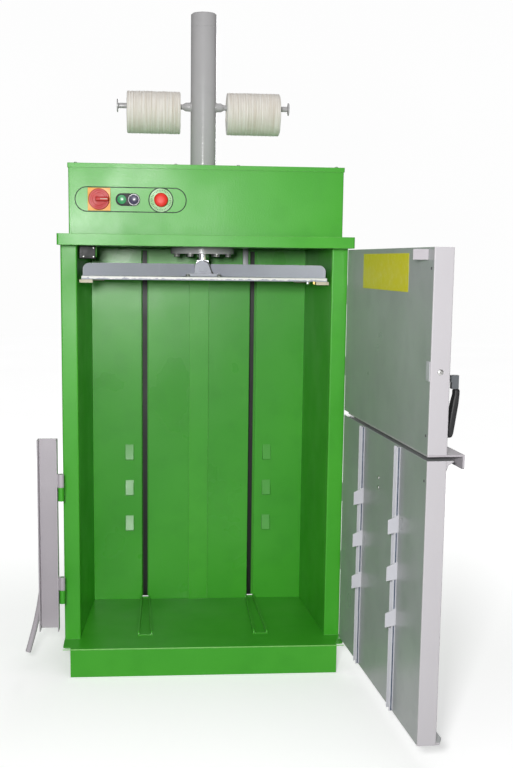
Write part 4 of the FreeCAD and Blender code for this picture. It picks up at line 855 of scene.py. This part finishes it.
@dataclass
class ControlPanel(SubAssembly):
    """Main switch, push buttons and emergency stop, with their printed outline."""

    height: float = 1.319
    outline_middle: float = -0.204
    outline_length: float = 0.295
    outline_width: float = 0.064
    line: float = 0.0027
    line_rise: float = 0.0004
    ticks: int = 36

    def ring_line(self, name: str, middle: float, length: float, width: float,
                  front: float) -> bpy.types.Object:
        """A printed line round an area with half-round ends.

        Args:
            name: the piece's name.
            middle: the area's middle, across the fascia.
            length: the area's length, or 0 for a circle.
            width: the area's height.
            front: the face that the line is printed on.

        Returns:
            The new object.
        """
        radius = width / 2
        reach = max(0.0, length / 2 - radius)
        clear_selection()
        bpy.ops.mesh.primitive_circle_add(vertices=96, radius=radius, location=(0, 0, 0))
        piece = bpy.context.object
        piece.name = name
        if reach:
            stretch_ends(piece, reach)
        start_edit(piece)
        bpy.ops.mesh.select_all(action="SELECT")
        bpy.ops.mesh.extrude_region_move(TRANSFORM_OT_translate={"value": (0, 0, self.line_rise)})
        end_edit()
        apply_modifier(piece, "SOLIDIFY", thickness=self.line, offset=0.0, use_even_offset=True)
        start_edit(piece)
        bpy.ops.mesh.select_all(action="SELECT")
        bpy.ops.mesh.normals_make_consistent(inside=False)
        end_edit()
        turn = Matrix.Rotation(math.pi / 2, 4, "X")
        return settle(piece, Matrix.Translation((middle, front, self.height)) @ turn)

    def build(self) -> None:
        """Model the parts on the fascia from the left to the right."""
        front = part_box("head_box")[0].y
        self.keep(self.ring_line("panel_outline", self.outline_middle, self.outline_length,
                                 self.outline_width, front), "frame", "pale_plastic", PRINT)
        self.main_switch()
        self.push_buttons()
        self.emergency_stop(front)

    def main_switch(self) -> None:
        """Square plate and the turning grip over it."""
        low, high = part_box("switch_plate")
        plate = slab("main_switch_plate", low, high)
        sink_face(plate, (0, -1, 0), 0.003, 0.0005)
        soften(plate, 0.0012, 3)
        self.keep(plate, "frame", "yellow_plastic", YELLOW, "switch_plate")

        low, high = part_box("switch_knob")
        x, z = -0.288, self.height
        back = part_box("switch_plate")[0].y - 0.0003
        radius = (high.z - low.z) / 2
        knob = turned("main_switch_dial", [
            (0.0, 0.0), (radius, 0.0), (radius, 0.0045), (radius - 0.0015, 0.0068), (radius - 0.006, 0.007),
            (radius - 0.0068, 0.0058), (radius - 0.0105, 0.0056), (radius - 0.0115, 0.007), (0.0, 0.007)],
            (x, back, z), Axis.Y, 64)
        settle(knob, half_turn((x, back, z)))
        grip = slab("main_switch_grip", (x - 0.0095, low.y, z - 0.0066),
                    (x + 0.0268, back - 0.0068, z + 0.0066))
        start_edit(grip)
        pick_faces(grip, lambda centre, normal: normal.y < -SQUARE_ON)
        bpy.ops.transform.resize(value=(0.92, 1, 0.72))
        end_edit()
        soften(grip, 0.0022, 3)
        self.keep(join("main_switch_knob", [knob, grip]), "main_switch", "red_plastic", RED, "switch_knob")
        mark = slab("main_switch_mark", (x + 0.004, low.y - 0.00025, z - 0.0012),
                    (x + 0.0225, low.y + 0.0004, z + 0.0012))
        soften(mark, 0.0001, 1)
        self.keep(mark, "main_switch", "pale_plastic", CREAM)

    def push_buttons(self) -> None:
        """Two round caps in one collar."""
        low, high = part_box("button_bezel")
        radius = (high.z - low.z) / 2
        body = self.ring_body("button_collar", low, high, radius)
        self.keep(body, "frame", "black_plastic", BLACK, "button_bezel")
        ring_low, ring_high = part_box("stop_ring")
        outer = (ring_high.z - ring_low.z) / 2
        middle = ((ring_low.x + ring_high.x) / 2, ring_high.y, self.height)
        ring = turned("stop_button_ring", [
            (outer - 0.0032, 0.0), (outer - 0.0006, 0.0), (outer - 0.0008, -0.0010), (outer - 0.0014, -0.0014),
            (outer - 0.0028, -0.0010), (outer - 0.0032, 0.0)], middle, Axis.Y, 64)
        self.keep(ring, "frame", "chrome_rod", ALUMINIUM, "stop_ring")
        for node, finish, slot in (("start_button", GREEN_CAP, "green_plastic"),
                                   ("stop_button", NIGHT_CAP, "black_plastic")):
            cap_low, cap_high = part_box(node)
            cap = (cap_high.z - cap_low.z) / 2
            middle = ((cap_low.x + cap_high.x) / 2, cap_low.y, self.height)
            button = turned(f"{node}_cap", [
                (0.0, 0.0012), (cap * 0.55, 0.0009), (cap * 0.78, 0.0002), (cap * 0.9, 0.0),
                (cap * 0.985, 0.0006), (cap, 0.0016), (cap, 0.0038), (0.0, 0.0038)], middle, Axis.Y, 48)
            self.keep(button, node, slot, finish, node)

    def ring_body(self, name: str, low: Vector, high: Vector, radius: float) -> bpy.types.Object:
        """Collar with half-round ends and one shallow well for the caps."""
        clear_selection()
        bpy.ops.mesh.primitive_cylinder_add(vertices=64, radius=radius, depth=high.y - low.y,
                                            location=(0, 0, 0))
        piece = bpy.context.object
        piece.name = name
        stretch_ends(piece, (high.x - low.x) / 2 - radius)
        sink_face(piece, (0, 0, 1), 0.0022, 0.0009)
        soften(piece, 0.0007, 2)
        middle = [(a + b) / 2 for a, b in zip(low, high)]
        return settle(piece, Matrix.Translation(middle) @ Matrix.Rotation(math.pi / 2, 4, "X"))

    def emergency_stop(self, front: float) -> None:
        """Mushroom head over a pale disc with small marks round it."""
        low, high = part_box("estop_plate")
        x = (low.x + high.x) / 2
        radius = (high.z - low.z) / 2
        hole, thick = 0.0112, 0.0012
        disc = turned("stop_disc", [
            (hole, 0.0), (radius, 0.0), (radius, 0.0006), (radius - 0.0006, thick), (hole, thick),
            (hole, 0.0)], (x, high.y, self.height), Axis.Y, 72)
        settle(disc, half_turn((x, high.y, 0)))
        self.keep(disc, "frame", "pale_plastic", DISC, "estop_plate")
        face = high.y - thick
        line = self.ring_line("stop_disc_line", x, 0.0, 2 * radius - 0.001, face)
        self.keep(line, "frame", "pale_plastic", PRINT)
        marks = []
        for count in range(self.ticks):
            angle = 2 * math.pi * count / self.ticks
            length = 0.0042 if count % 3 else 0.0062
            tick = slab(f"tick_{count}", (-0.0006, face - 0.0003, radius - 0.0046 - length),
                        (0.0006, face + 0.0002, radius - 0.0046))
            move = Matrix.Translation((x, 0, self.height)) @ Matrix.Rotation(angle, 4, "Y")
            marks.append(settle(tick, move))
        self.keep(join("stop_disc_marks", marks), "frame", "pale_plastic", PRINT)

        low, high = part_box("estop_button")
        radius = (high.z - low.z) / 2
        head, stem = 0.015, 0.0048
        crown = [(0.0, 0.0), (radius * 0.45, 0.0003), (radius * 0.72, 0.0014), (radius * 0.9, 0.0034),
                 (radius * 0.985, 0.0062), (radius, 0.0085), (radius * 0.99, head - 0.002),
                 (radius * 0.94, head), (0.0095, head), (stem, head + 0.0015), (stem, head + 0.0088),
                 (0.0, head + 0.0088)]
        button = turned("stop_mushroom", crown, (x, low.y, self.height), Axis.Y, 64)
        self.keep(button, "estop_button", "red_plastic", RED_STOP, "estop_button")


@dataclass
class Fasteners(SubAssembly):
    """Screws of the lid and bolts of the cylinder's flange."""

    inner_screws: float = 0.084
    bolt_circle: float = 0.075
    cylinder_depth: float = 0.275
    bolt_count: int = 6

    def build(self) -> None:
        """Model one of each and copy it to its places."""
        self.lid_screws()
        self.flange_bolts()

    def lid_screws(self) -> None:
        """Round heads with a recess, one at each hole of the lid."""
        low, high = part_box("lid_screws")
        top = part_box("head_lid")[1].z
        radius = 0.0046
        first = turned("lid_screw_0", [
            (0.0, 0.0016), (0.0015, 0.0016), (0.0016, 0.0029), (0.0026, 0.0029), (0.0038, 0.0023),
            (radius, 0.0011), (radius, 0.0), (0.0, 0.0)], (0, 0, 0), steps=24)
        places = [(side * x, y, top) for x in (self.inner_screws, high.x - radius) for side in (-1, 1)
                  for y in (low.y + radius, high.y - radius)]
        screws = repeat(first, "lid_screw", places)
        self.keep(join("lid_screw_heads", screws), "frame", "zinc_steel", ZINC, "lid_screws")

    def flange_bolts(self) -> None:
        """Hexagon heads under the cylinder's flange."""
        low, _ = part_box("cylinder_flange")
        size = 0.010
        first = bolt("flange_bolt_0", (0, 0, 0), size, flip=True)
        turns = [math.radians(360 / self.bolt_count * count) for count in range(self.bolt_count)]
        places = [(self.bolt_circle * math.cos(turn), self.cylinder_depth + self.bolt_circle * math.sin(turn),
                   low.z) for turn in turns]
        heads = repeat(first, "flange_bolt", places)
        self.keep(join("flange_bolt_heads", heads), "frame", "zinc_steel", ZINC, "flange_bolts")


@dataclass
class DoorDetails(SubAssembly):
    """Small parts on the two open doors, drawn from the hinge axis with the doors shut."""

    inner: float = 0.0105
    free_edge: float = -0.790
    guides: tuple[float, float] = (-0.2345, -0.5705)

    def fix(self, piece: bpy.types.Object, body: str, slot: str, finish: Finish, *nodes: str) -> None:
        """Swing a piece out with the doors and hand it over."""
        self.keep(settle(piece, on_door()), body, slot, finish, *nodes)

    def build(self) -> None:
        """Make the field, the latch plate, the bolts, the painted guide shades and the grip."""
        self.plain_field()
        self.latch_plate()
        self.door_bolts()
        self.guide_shades()
        self.grip()

    def plain_field(self) -> None:
        """Plain yellow field near the upper door's hinge side."""
        field_plate = slab("yellow_field", (-0.6015, self.inner - 0.0002, 1.095),
                           (-0.1875, self.inner + 0.0004, 1.183))
        soften(field_plate, 0.0002, 1)
        self.fix(field_plate, "upper_door", "yellow_plastic", YELLOW_FIELD)

    def latch_plate(self) -> None:
        """Plate that the latch runs behind, and the stud in the free edge."""
        plate = slab("latch_plate", (-0.786, self.inner - 0.0002, 0.909),
                     (-0.760, self.inner + 0.0014, 0.952))
        sink_face(plate, (0, 1, 0), 0.005, 0.001)
        soften(plate, 0.0006, 2)
        self.fix(plate, "upper_door", "grey_paint", GUIDE_GREY)
        outline = [(0.0, 0.0), (0.0066, 0.0), (0.0066, 0.0008), (0.005, 0.0022), (0.0026, 0.0026),
                   (0.002, 0.0012), (0.0, 0.0012)]
        stud = turned("latch_stud", outline, (0, 0, 0), steps=24)
        place = Matrix.Translation((self.free_edge, -0.0115, 0.930))
        settle(stud, place @ Matrix.Rotation(-math.pi / 2, 4, "Y"))
        self.fix(stud, "upper_door", "zinc_steel", ZINC)

    def door_bolts(self) -> None:
        """Low round heads on the inner faces and on the tab."""
        head = [(0.0, 0.0026), (0.0026, 0.0024), (0.0044, 0.0014), (0.005, 0.0), (0.0, 0.0)]
        for name, body, x, z, size in (("lower_upper", "lower_door", -0.3965, 0.628, 1.0),
                                       ("lower_lower", "lower_door", -0.3965, 0.603, 1.0),
                                       ("edge_high", "upper_door", -0.772, 1.150, 0.7),
                                       ("edge_low", "upper_door", -0.772, 0.790, 0.7),
                                       ("foot", "lower_door", -0.772, 0.690, 0.7)):
            piece = turned(f"{name}_bolt", [(radius * size, height * size * 0.85) for radius, height in head],
                           (0, 0, 0), steps=24)
            settle(piece, Matrix.Translation((x, self.inner, z)) @ Matrix.Rotation(-math.pi / 2, 4, "X"))
            self.fix(piece, body, "zinc_steel", IRON if size < 1 else ZINC)
        tab_bolt = bolt("tab_bolt", (-0.743, self.inner + 0.018, 1.1765), 0.006, Axis.X)
        self.fix(tab_bolt, "upper_door", "dark_paint", IRON)

    def guide_shades(self) -> None:
        """Painted shade: a dark strip along the bottom of each strap guide, and a thin painted shadow line at its
        side.
        """
        bottom, top, seat = 0.0885, 0.734, self.inner + 0.0022
        for count, place in enumerate(self.guides):
            for name, left, right, rise in (("track", -0.0104, 0.0104, 0.0007),
                                            ("line", -0.0133, -0.0129, 0.0034)):
                strip = slab(f"guide_{name}_{count}", (place + left, seat, bottom),
                             (place + right, seat + rise, top))
                soften(strip, 0.0001, 1)
                self.fix(strip, "lower_door", "dark_paint", GUIDE_SHADE_BLUE)

    def grip(self) -> None:
        """Flat grip that hangs from the arm and leans to the door."""
        middle, top = -0.745, 0.8895
        piece = slab("handle_grip_shell", (middle - 0.010, -0.0695, top - 0.012),
                     (middle + 0.010, -0.0565, top))
        start_edit(piece)
        for drop, lean, wide in ((0.020, 0.0032, 1.16), (0.044, 0.0062, 1.0), (0.022, 0.0032, 1.0),
                                 (0.0098, 0.0012, 0.8)):
            pick_faces(piece, lambda centre, normal: normal.z < -SQUARE_ON)
            bpy.ops.mesh.extrude_region_move(TRANSFORM_OT_translate={"value": (0, lean, -drop)})
            bpy.ops.transform.resize(value=(wide, wide, 1))
        end_edit()
        apply_modifier(piece, "BEVEL", width=0.0042, segments=4, limit_method="ANGLE",
                       angle_limit=math.radians(40))
        soften(piece, 0.0006, 2, 30)
        self.fix(piece, "handle", "black_plastic", BLACK, "handle_grip")


@dataclass
class PressDetails(SubAssembly):
    """Small parts on and over the platen."""

    plate_top: float = 1.116

    def build(self) -> None:
        """Make the clip, the bolts, the welds and the grey guide strip."""
        self.clip()
        strip = slab("back_guide_strip", (0.133, 0.4565, 1.122), (0.149, 0.4635, 1.1985))
        soften(strip, 0.0012, 2)
        self.keep(strip, "frame", "grey_paint", GUIDE_GREY)
        for count, (x, y) in enumerate(((0.045, 0.215), (-0.045, 0.215))):
            self.keep(bolt(f"platen_bolt_{count}", (x, y, self.plate_top), 0.007), "platen", "zinc_steel", ZINC)
        for count, side in enumerate((-1, 1)):
            for row, y in enumerate((0.2525, 0.2975)):
                bead = weld(f"clevis_weld_{count}_{row}", (side * 0.0235, y, self.plate_top + 0.001),
                            (side * 0.002, y, self.plate_top + 0.001), 0.0026)
                self.keep(bead, "platen", "grey_paint", PRESS_GREY)
        self.pads()

    def clip(self) -> None:
        """Bent wire clip that keeps the clevis pin in."""
        clear_selection()
        bpy.ops.curve.primitive_nurbs_path_add(location=(0, 0, 0))
        wire = bpy.context.object
        wire.name = "clevis_clip"
        places = [(0.004, 1.1585), (0.0205, 1.1625), (0.0225, 1.1320), (0.0240, 1.1180), (0.0440, 1.1195)]
        for point, (x, z) in zip(wire.data.splines[0].points, places):
            point.co = (x, 0.2455, z, 1.0)
        wire.data.bevel_depth = 0.0017
        wire.data.bevel_resolution = 4
        wire.data.use_fill_caps = True
        bpy.ops.object.convert(target="MESH")
        bpy.ops.object.shade_smooth_by_angle(angle=math.radians(60))
        self.keep(settle(bpy.context.object), "platen", "zinc_steel", IRON)

    def pads(self) -> None:
        """Two bright screws under the platen's right end."""
        low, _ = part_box("platen_plate")
        for count, x in enumerate((0.288, 0.306)):
            outline = [(0.0, -0.0085), (0.003, -0.0083), (0.0052, -0.0066), (0.0055, 0.0), (0.0, 0.0)]
            screw = turned(f"pad_screw_{count}", outline, (x, 0.108, low.z), steps=24)
            self.keep(screw, "platen", "zinc_steel", BRASS if count else CHROME)


class HeadDetails(SubAssembly):
    """Spool pins, the door switch and a painted highlight on the folded edge of the floor plate."""

    def build(self) -> None:
        """Make the pieces of the head and the painted highlight on the floor plate's folded edge."""
        self.pins()
        self.door_switch()
        # Painted highlight: a thin bright strip on the floor plate's folded front edge.
        edge = slab("floor_fold_highlight", (-0.3975, -0.0007, 0.0793), (0.3975, 0.0004, 0.0818))
        soften(edge, 0.0004, 2)
        self.keep(edge, "frame", "green_paint", FOLD_HIGHLIGHT)

    def pins(self) -> None:
        """Turned pins with a weld, a tapered collar and a thin end disc."""
        low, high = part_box("spool_pins")
        centre = (0, (low.y + high.y) / 2, (low.z + high.z) / 2)
        outline = [(0.0, 0.0335), (0.0145, 0.0335), (0.0148, 0.0362), (0.0126, 0.0382), (0.0124, 0.050),
                   (0.0092, 0.056), (0.0075, 0.0585), (0.0075, 0.2395), (0.0088, 0.2408), (0.0168, 0.2414),
                   (0.0183, 0.2424), (0.0183, 0.2448), (0.0172, 0.246), (0.0, 0.246)]
        right = turned("spool_pin_right", outline, centre, Axis.X, 40)
        left = copy_piece(right, "spool_pin_left", half_turn(centre))
        self.keep(join("spool_pin_pair", [right, left]), "frame", "grey_paint", TUBE_GREY, "spool_pins")

    def door_switch(self) -> None:
        """Limit switch box with its cover, screws and bracket."""
        low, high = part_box("door_switch")
        case = slab("door_switch_case", (low.x, low.y + 0.004, low.z), high)
        soften(case, 0.0022, 3)
        cover = slab("door_switch_cover", (low.x + 0.0015, low.y, low.z + 0.0015),
                     (high.x - 0.0015, low.y + 0.0045, high.z - 0.0015))
        sink_face(cover, (0, -1, 0), 0.004, 0.0008)
        soften(cover, 0.0009, 2)
        self.keep(join("door_switch_box", [case, cover]), "frame", "black_plastic", BLACK, "door_switch")
        outline = [(0.0, -0.0012), (0.0018, -0.001), (0.0024, 0.0), (0.0024, 0.0012), (0.0, 0.0012)]
        corners = ((low.x + 0.0125, low.z + 0.006), (high.x - 0.006, low.z + 0.006),
                   (high.x - 0.006, high.z - 0.006))
        screws = [turned("door_switch_screw", outline, (x, low.y + 0.0002, z), Axis.Y, 20)
                  for x, z in corners]
        self.keep(join("door_switch_screws", screws), "frame", "zinc_steel", ZINC)
        strap = slab("door_switch_bracket", (high.x - 0.0002, low.y + 0.006, high.z - 0.030),
                     (high.x + 0.0022, high.y - 0.004, high.z))
        soften(strap, 0.0008, 2)
        self.keep(strap, "frame", "green_paint", GREEN)


@dataclass
class BackFittings(SubAssembly):
    """Welds of the ribs, the gland's nut and the unions of the pressure pipe."""

    wall_face: float = 0.3803
    ribs: tuple[float, ...] = (0.336, 0.615, 0.894)
    rib_height: float = 0.050
    rib_bead: float = 0.0022
    rib_runs: tuple[tuple[float, float], ...] = ((0.158, 0.205), (0.300, 0.347))
    channel_bead: float = 0.0024
    channel_run: float = 0.045
    channel_edges: tuple[float, float] = (0.1424, 0.1936)
    channel_back: float = 0.4836

    def build(self) -> None:
        """Weld the ribs and beams on, then make the fittings behind."""
        for side in (-1, 1):
            beads = []
            for low in self.ribs:
                for height in (low - 0.0006, low + self.rib_height + 0.0006):
                    beads += [weld("rib_bead", (side * self.wall_face, start, height),
                                   (side * self.wall_face, end, height), self.rib_bead)
                              for start, end in self.rib_runs]
            name = f"rib_welds_{'left' if side < 0 else 'right'}"
            self.keep(join(name, beads), "frame", "green_paint", GREEN)
        self.channel_welds()
        self.gland_nut()
        self.unions()

    def channel_welds(self) -> None:
        """Short beads that hold the strap channels to the back wall."""
        beads = []
        for side in (-1, 1):
            for height in (0.15, 0.42, 0.80, 1.12):
                beads += [weld("channel_bead", (side * x, self.channel_back, height),
                               (side * x, self.channel_back, height + self.channel_run), self.channel_bead)
                          for x in self.channel_edges]
        self.keep(join("channel_welds", beads), "frame", "green_paint", GREEN)

    def gland_nut(self) -> None:
        """Hexagon and domed cap on the cable gland."""
        low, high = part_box("cable_gland")
        x, z = (low.x + high.x) / 2, (low.z + high.z) / 2
        radius = (high.z - low.z) / 2
        clear_selection()
        bpy.ops.mesh.primitive_cylinder_add(vertices=6, radius=radius * 0.985, depth=0.007,
                                            location=(0, 0, 0.0035))
        nut = settle(bpy.context.object)
        soften(nut, 0.0006)
        dome = turned("gland_dome", [(radius * 0.8, 0.006), (radius * 0.8, 0.013), (radius * 0.72, 0.0165),
                                     (radius * 0.5, 0.0185), (radius * 0.46, 0.0165), (0.0, 0.0165)],
                      (0, 0, 0), steps=32)
        whole = join("gland_nut", [nut, dome])
        settle(whole, Matrix.Translation((x, high.y - 0.0195, z)) @ Axis.Y.turn())
        self.keep(whole, "frame", "black_plastic", BLACK)

    def unions(self) -> None:
        """Union nuts at both ends of the pressure pipe."""
        low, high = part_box("pressure_pipe")
        nuts = []
        for name, place, axis in (("upper", (0.0, low.y + 0.002, high.z - 0.006), Axis.Y),
                                  ("lower", (0.0, high.y - 0.006, low.z + 0.0005), Axis.Z)):
            clear_selection()
            bpy.ops.mesh.primitive_cylinder_add(vertices=6, radius=0.0105, depth=0.012,
                                                location=(0, 0, 0.006))
            nut = settle(bpy.context.object)
            nut.name = f"{name}_union"
            start_edit(nut)
            pick_faces(nut, lambda centre, normal: abs(normal.z) > SQUARE_ON)
            bpy.ops.mesh.inset(thickness=0.0016, depth=0.0008, use_individual=True)
            end_edit()
            soften(nut, 0.0006)
            nuts.append(settle(nut, Matrix.Translation(place) @ axis.turn()))
        self.keep(join("pipe_unions", nuts), "frame", "zinc_steel", ZINC)


@dataclass
class Studio:
    """Pale floor, soft light and the camera."""

    focal: float = 54.21
    place: Vector = field(default_factory=lambda: Vector((-0.1603, -3.1382, 1.1588)))
    pitch: float = 8.7
    yaw: float = 5.1
    roll: float = 0.7
    shift: tuple[float, float] = (0.00898, 0.0715)

    def build(self) -> None:
        """Set the floor, the world, the lights and the camera."""
        self.floor()
        self.backdrop()
        self.world()
        self.camera()
        self.lamp("front_panel", (-0.38, -3.1, 1.36), (0.0, 0.2, 1.0), 0.3, 70.0)
        self.lamp("top_panel", (0.2, -0.9, 3.7), (0.0, 0.1, 0.6), 2.2, 14.0)
        self.lamp("back_panel", (0.6, 3.4, 2.2), (0.0, 0.3, 0.8), 1.6, 42.0)
        bpy.context.scene.view_settings.view_transform = "Standard"

    def floor(self) -> None:
        """Pale floor with a faint cloud in it."""
        clear_selection()
        bpy.ops.mesh.primitive_plane_add(size=30, location=(0, 0, -0.0005))
        floor = bpy.context.object
        floor.name = "floor"
        board = Board("pale_floor")
        cloud = board.noise(0.8, 3.0)
        tone = board.blend(cloud, (0.86, 0.86, 0.86), (0.9, 0.9, 0.9))
        spread = board.add("ShaderNodeVectorMath")
        spread.operation = "LENGTH"
        board.feed(board.place, spread.inputs[0])
        glow = board.span(spread.outputs["Value"], 0.9, 4.0, 0.45, 0.86)
        board.set(Base_Color=tone, Roughness=0.9, Specular_IOR_Level=0.1, Emission_Color=tone,
                  Emission_Strength=glow)
        floor.data.materials.append(board.material)
        floor.visible_diffuse = False

    def backdrop(self) -> None:
        """White shell round the floor, seen but casting no light."""
        clear_selection()
        bpy.ops.mesh.primitive_uv_sphere_add(segments=48, ring_count=24, radius=14.5, location=(0, 0, 0))
        shell = bpy.context.object
        shell.name = "backdrop"
        board = Board("white_backdrop")
        tone = board.blend(board.noise(0.3, 2.0), (0.97, 0.97, 0.97), (1.0, 1.0, 1.0))
        board.set(Base_Color=(0.0, 0.0, 0.0), Specular_IOR_Level=0.0, Emission_Color=tone,
                  Emission_Strength=1.0)
        shell.data.materials.append(board.material)
        shell.visible_diffuse = shell.visible_glossy = shell.visible_shadow = False
        shell.visible_transmission = shell.visible_volume_scatter = False

    def world(self) -> None:
        """White surroundings."""
        world = bpy.data.worlds.new("studio")
        world.use_nodes = True
        background = world.node_tree.nodes["Background"]
        background.inputs["Color"].default_value = (1.0, 1.0, 1.0, 1.0)
        background.inputs["Strength"].default_value = 0.26
        bpy.context.scene.world = world

    def lamp(self, name: str, place: Sequence[float], aim: Sequence[float], size: float,
             power: float) -> None:
        """A square light panel.

        Args:
            name: the lamp's name.
            place: where it stands.
            aim: the point that it faces.
            size: the length of its side.
            power: its output in watts.
        """
        clear_selection()
        bpy.ops.object.light_add(type="AREA", location=place)
        lamp = bpy.context.object
        lamp.name = name
        lamp.data.size = size
        lamp.data.energy = power
        lamp.rotation_euler = (Vector(aim) - Vector(place)).to_track_quat("-Z", "Y").to_euler()

    def camera(self) -> None:
        """Camera that looks slightly down and to the right."""
        clear_selection()
        bpy.ops.object.camera_add(location=self.place)
        camera = bpy.context.object
        pitch, yaw, roll = (math.radians(angle) for angle in (self.pitch, self.yaw, self.roll))
        ahead = Vector((math.sin(yaw) * math.cos(pitch), math.cos(yaw) * math.cos(pitch), -math.sin(pitch)))
        right = Vector((math.cos(yaw), -math.sin(yaw), 0))
        above = right.cross(ahead)
        level = right * math.cos(roll) + above * math.sin(roll)
        above = above * math.cos(roll) - right * math.sin(roll)
        turn = Matrix((level, above, -ahead)).transposed()
        camera.matrix_world = Matrix.Translation(self.place) @ turn.to_4x4()
        camera.data.lens = self.focal
        camera.data.sensor_width = 36
        camera.data.shift_x, camera.data.shift_y = self.shift
        camera.data.clip_end = 60
        bpy.context.scene.camera = camera


def main() -> None:
    """Build the studio and then every sub-assembly in order."""
    logging.basicConfig(level=logging.INFO, format="%(name)s: %(message)s")
    Studio().build()
    for part in (SheetMetal(), TwineSpools(), ControlPanel(), Fasteners(), DoorDetails(), PressDetails(),
                 HeadDetails(), BackFittings()):
        LOG.info("building %s", type(part).__name__)
        part.build()
    clear_selection()


if __name__ == "__main__":
    main()
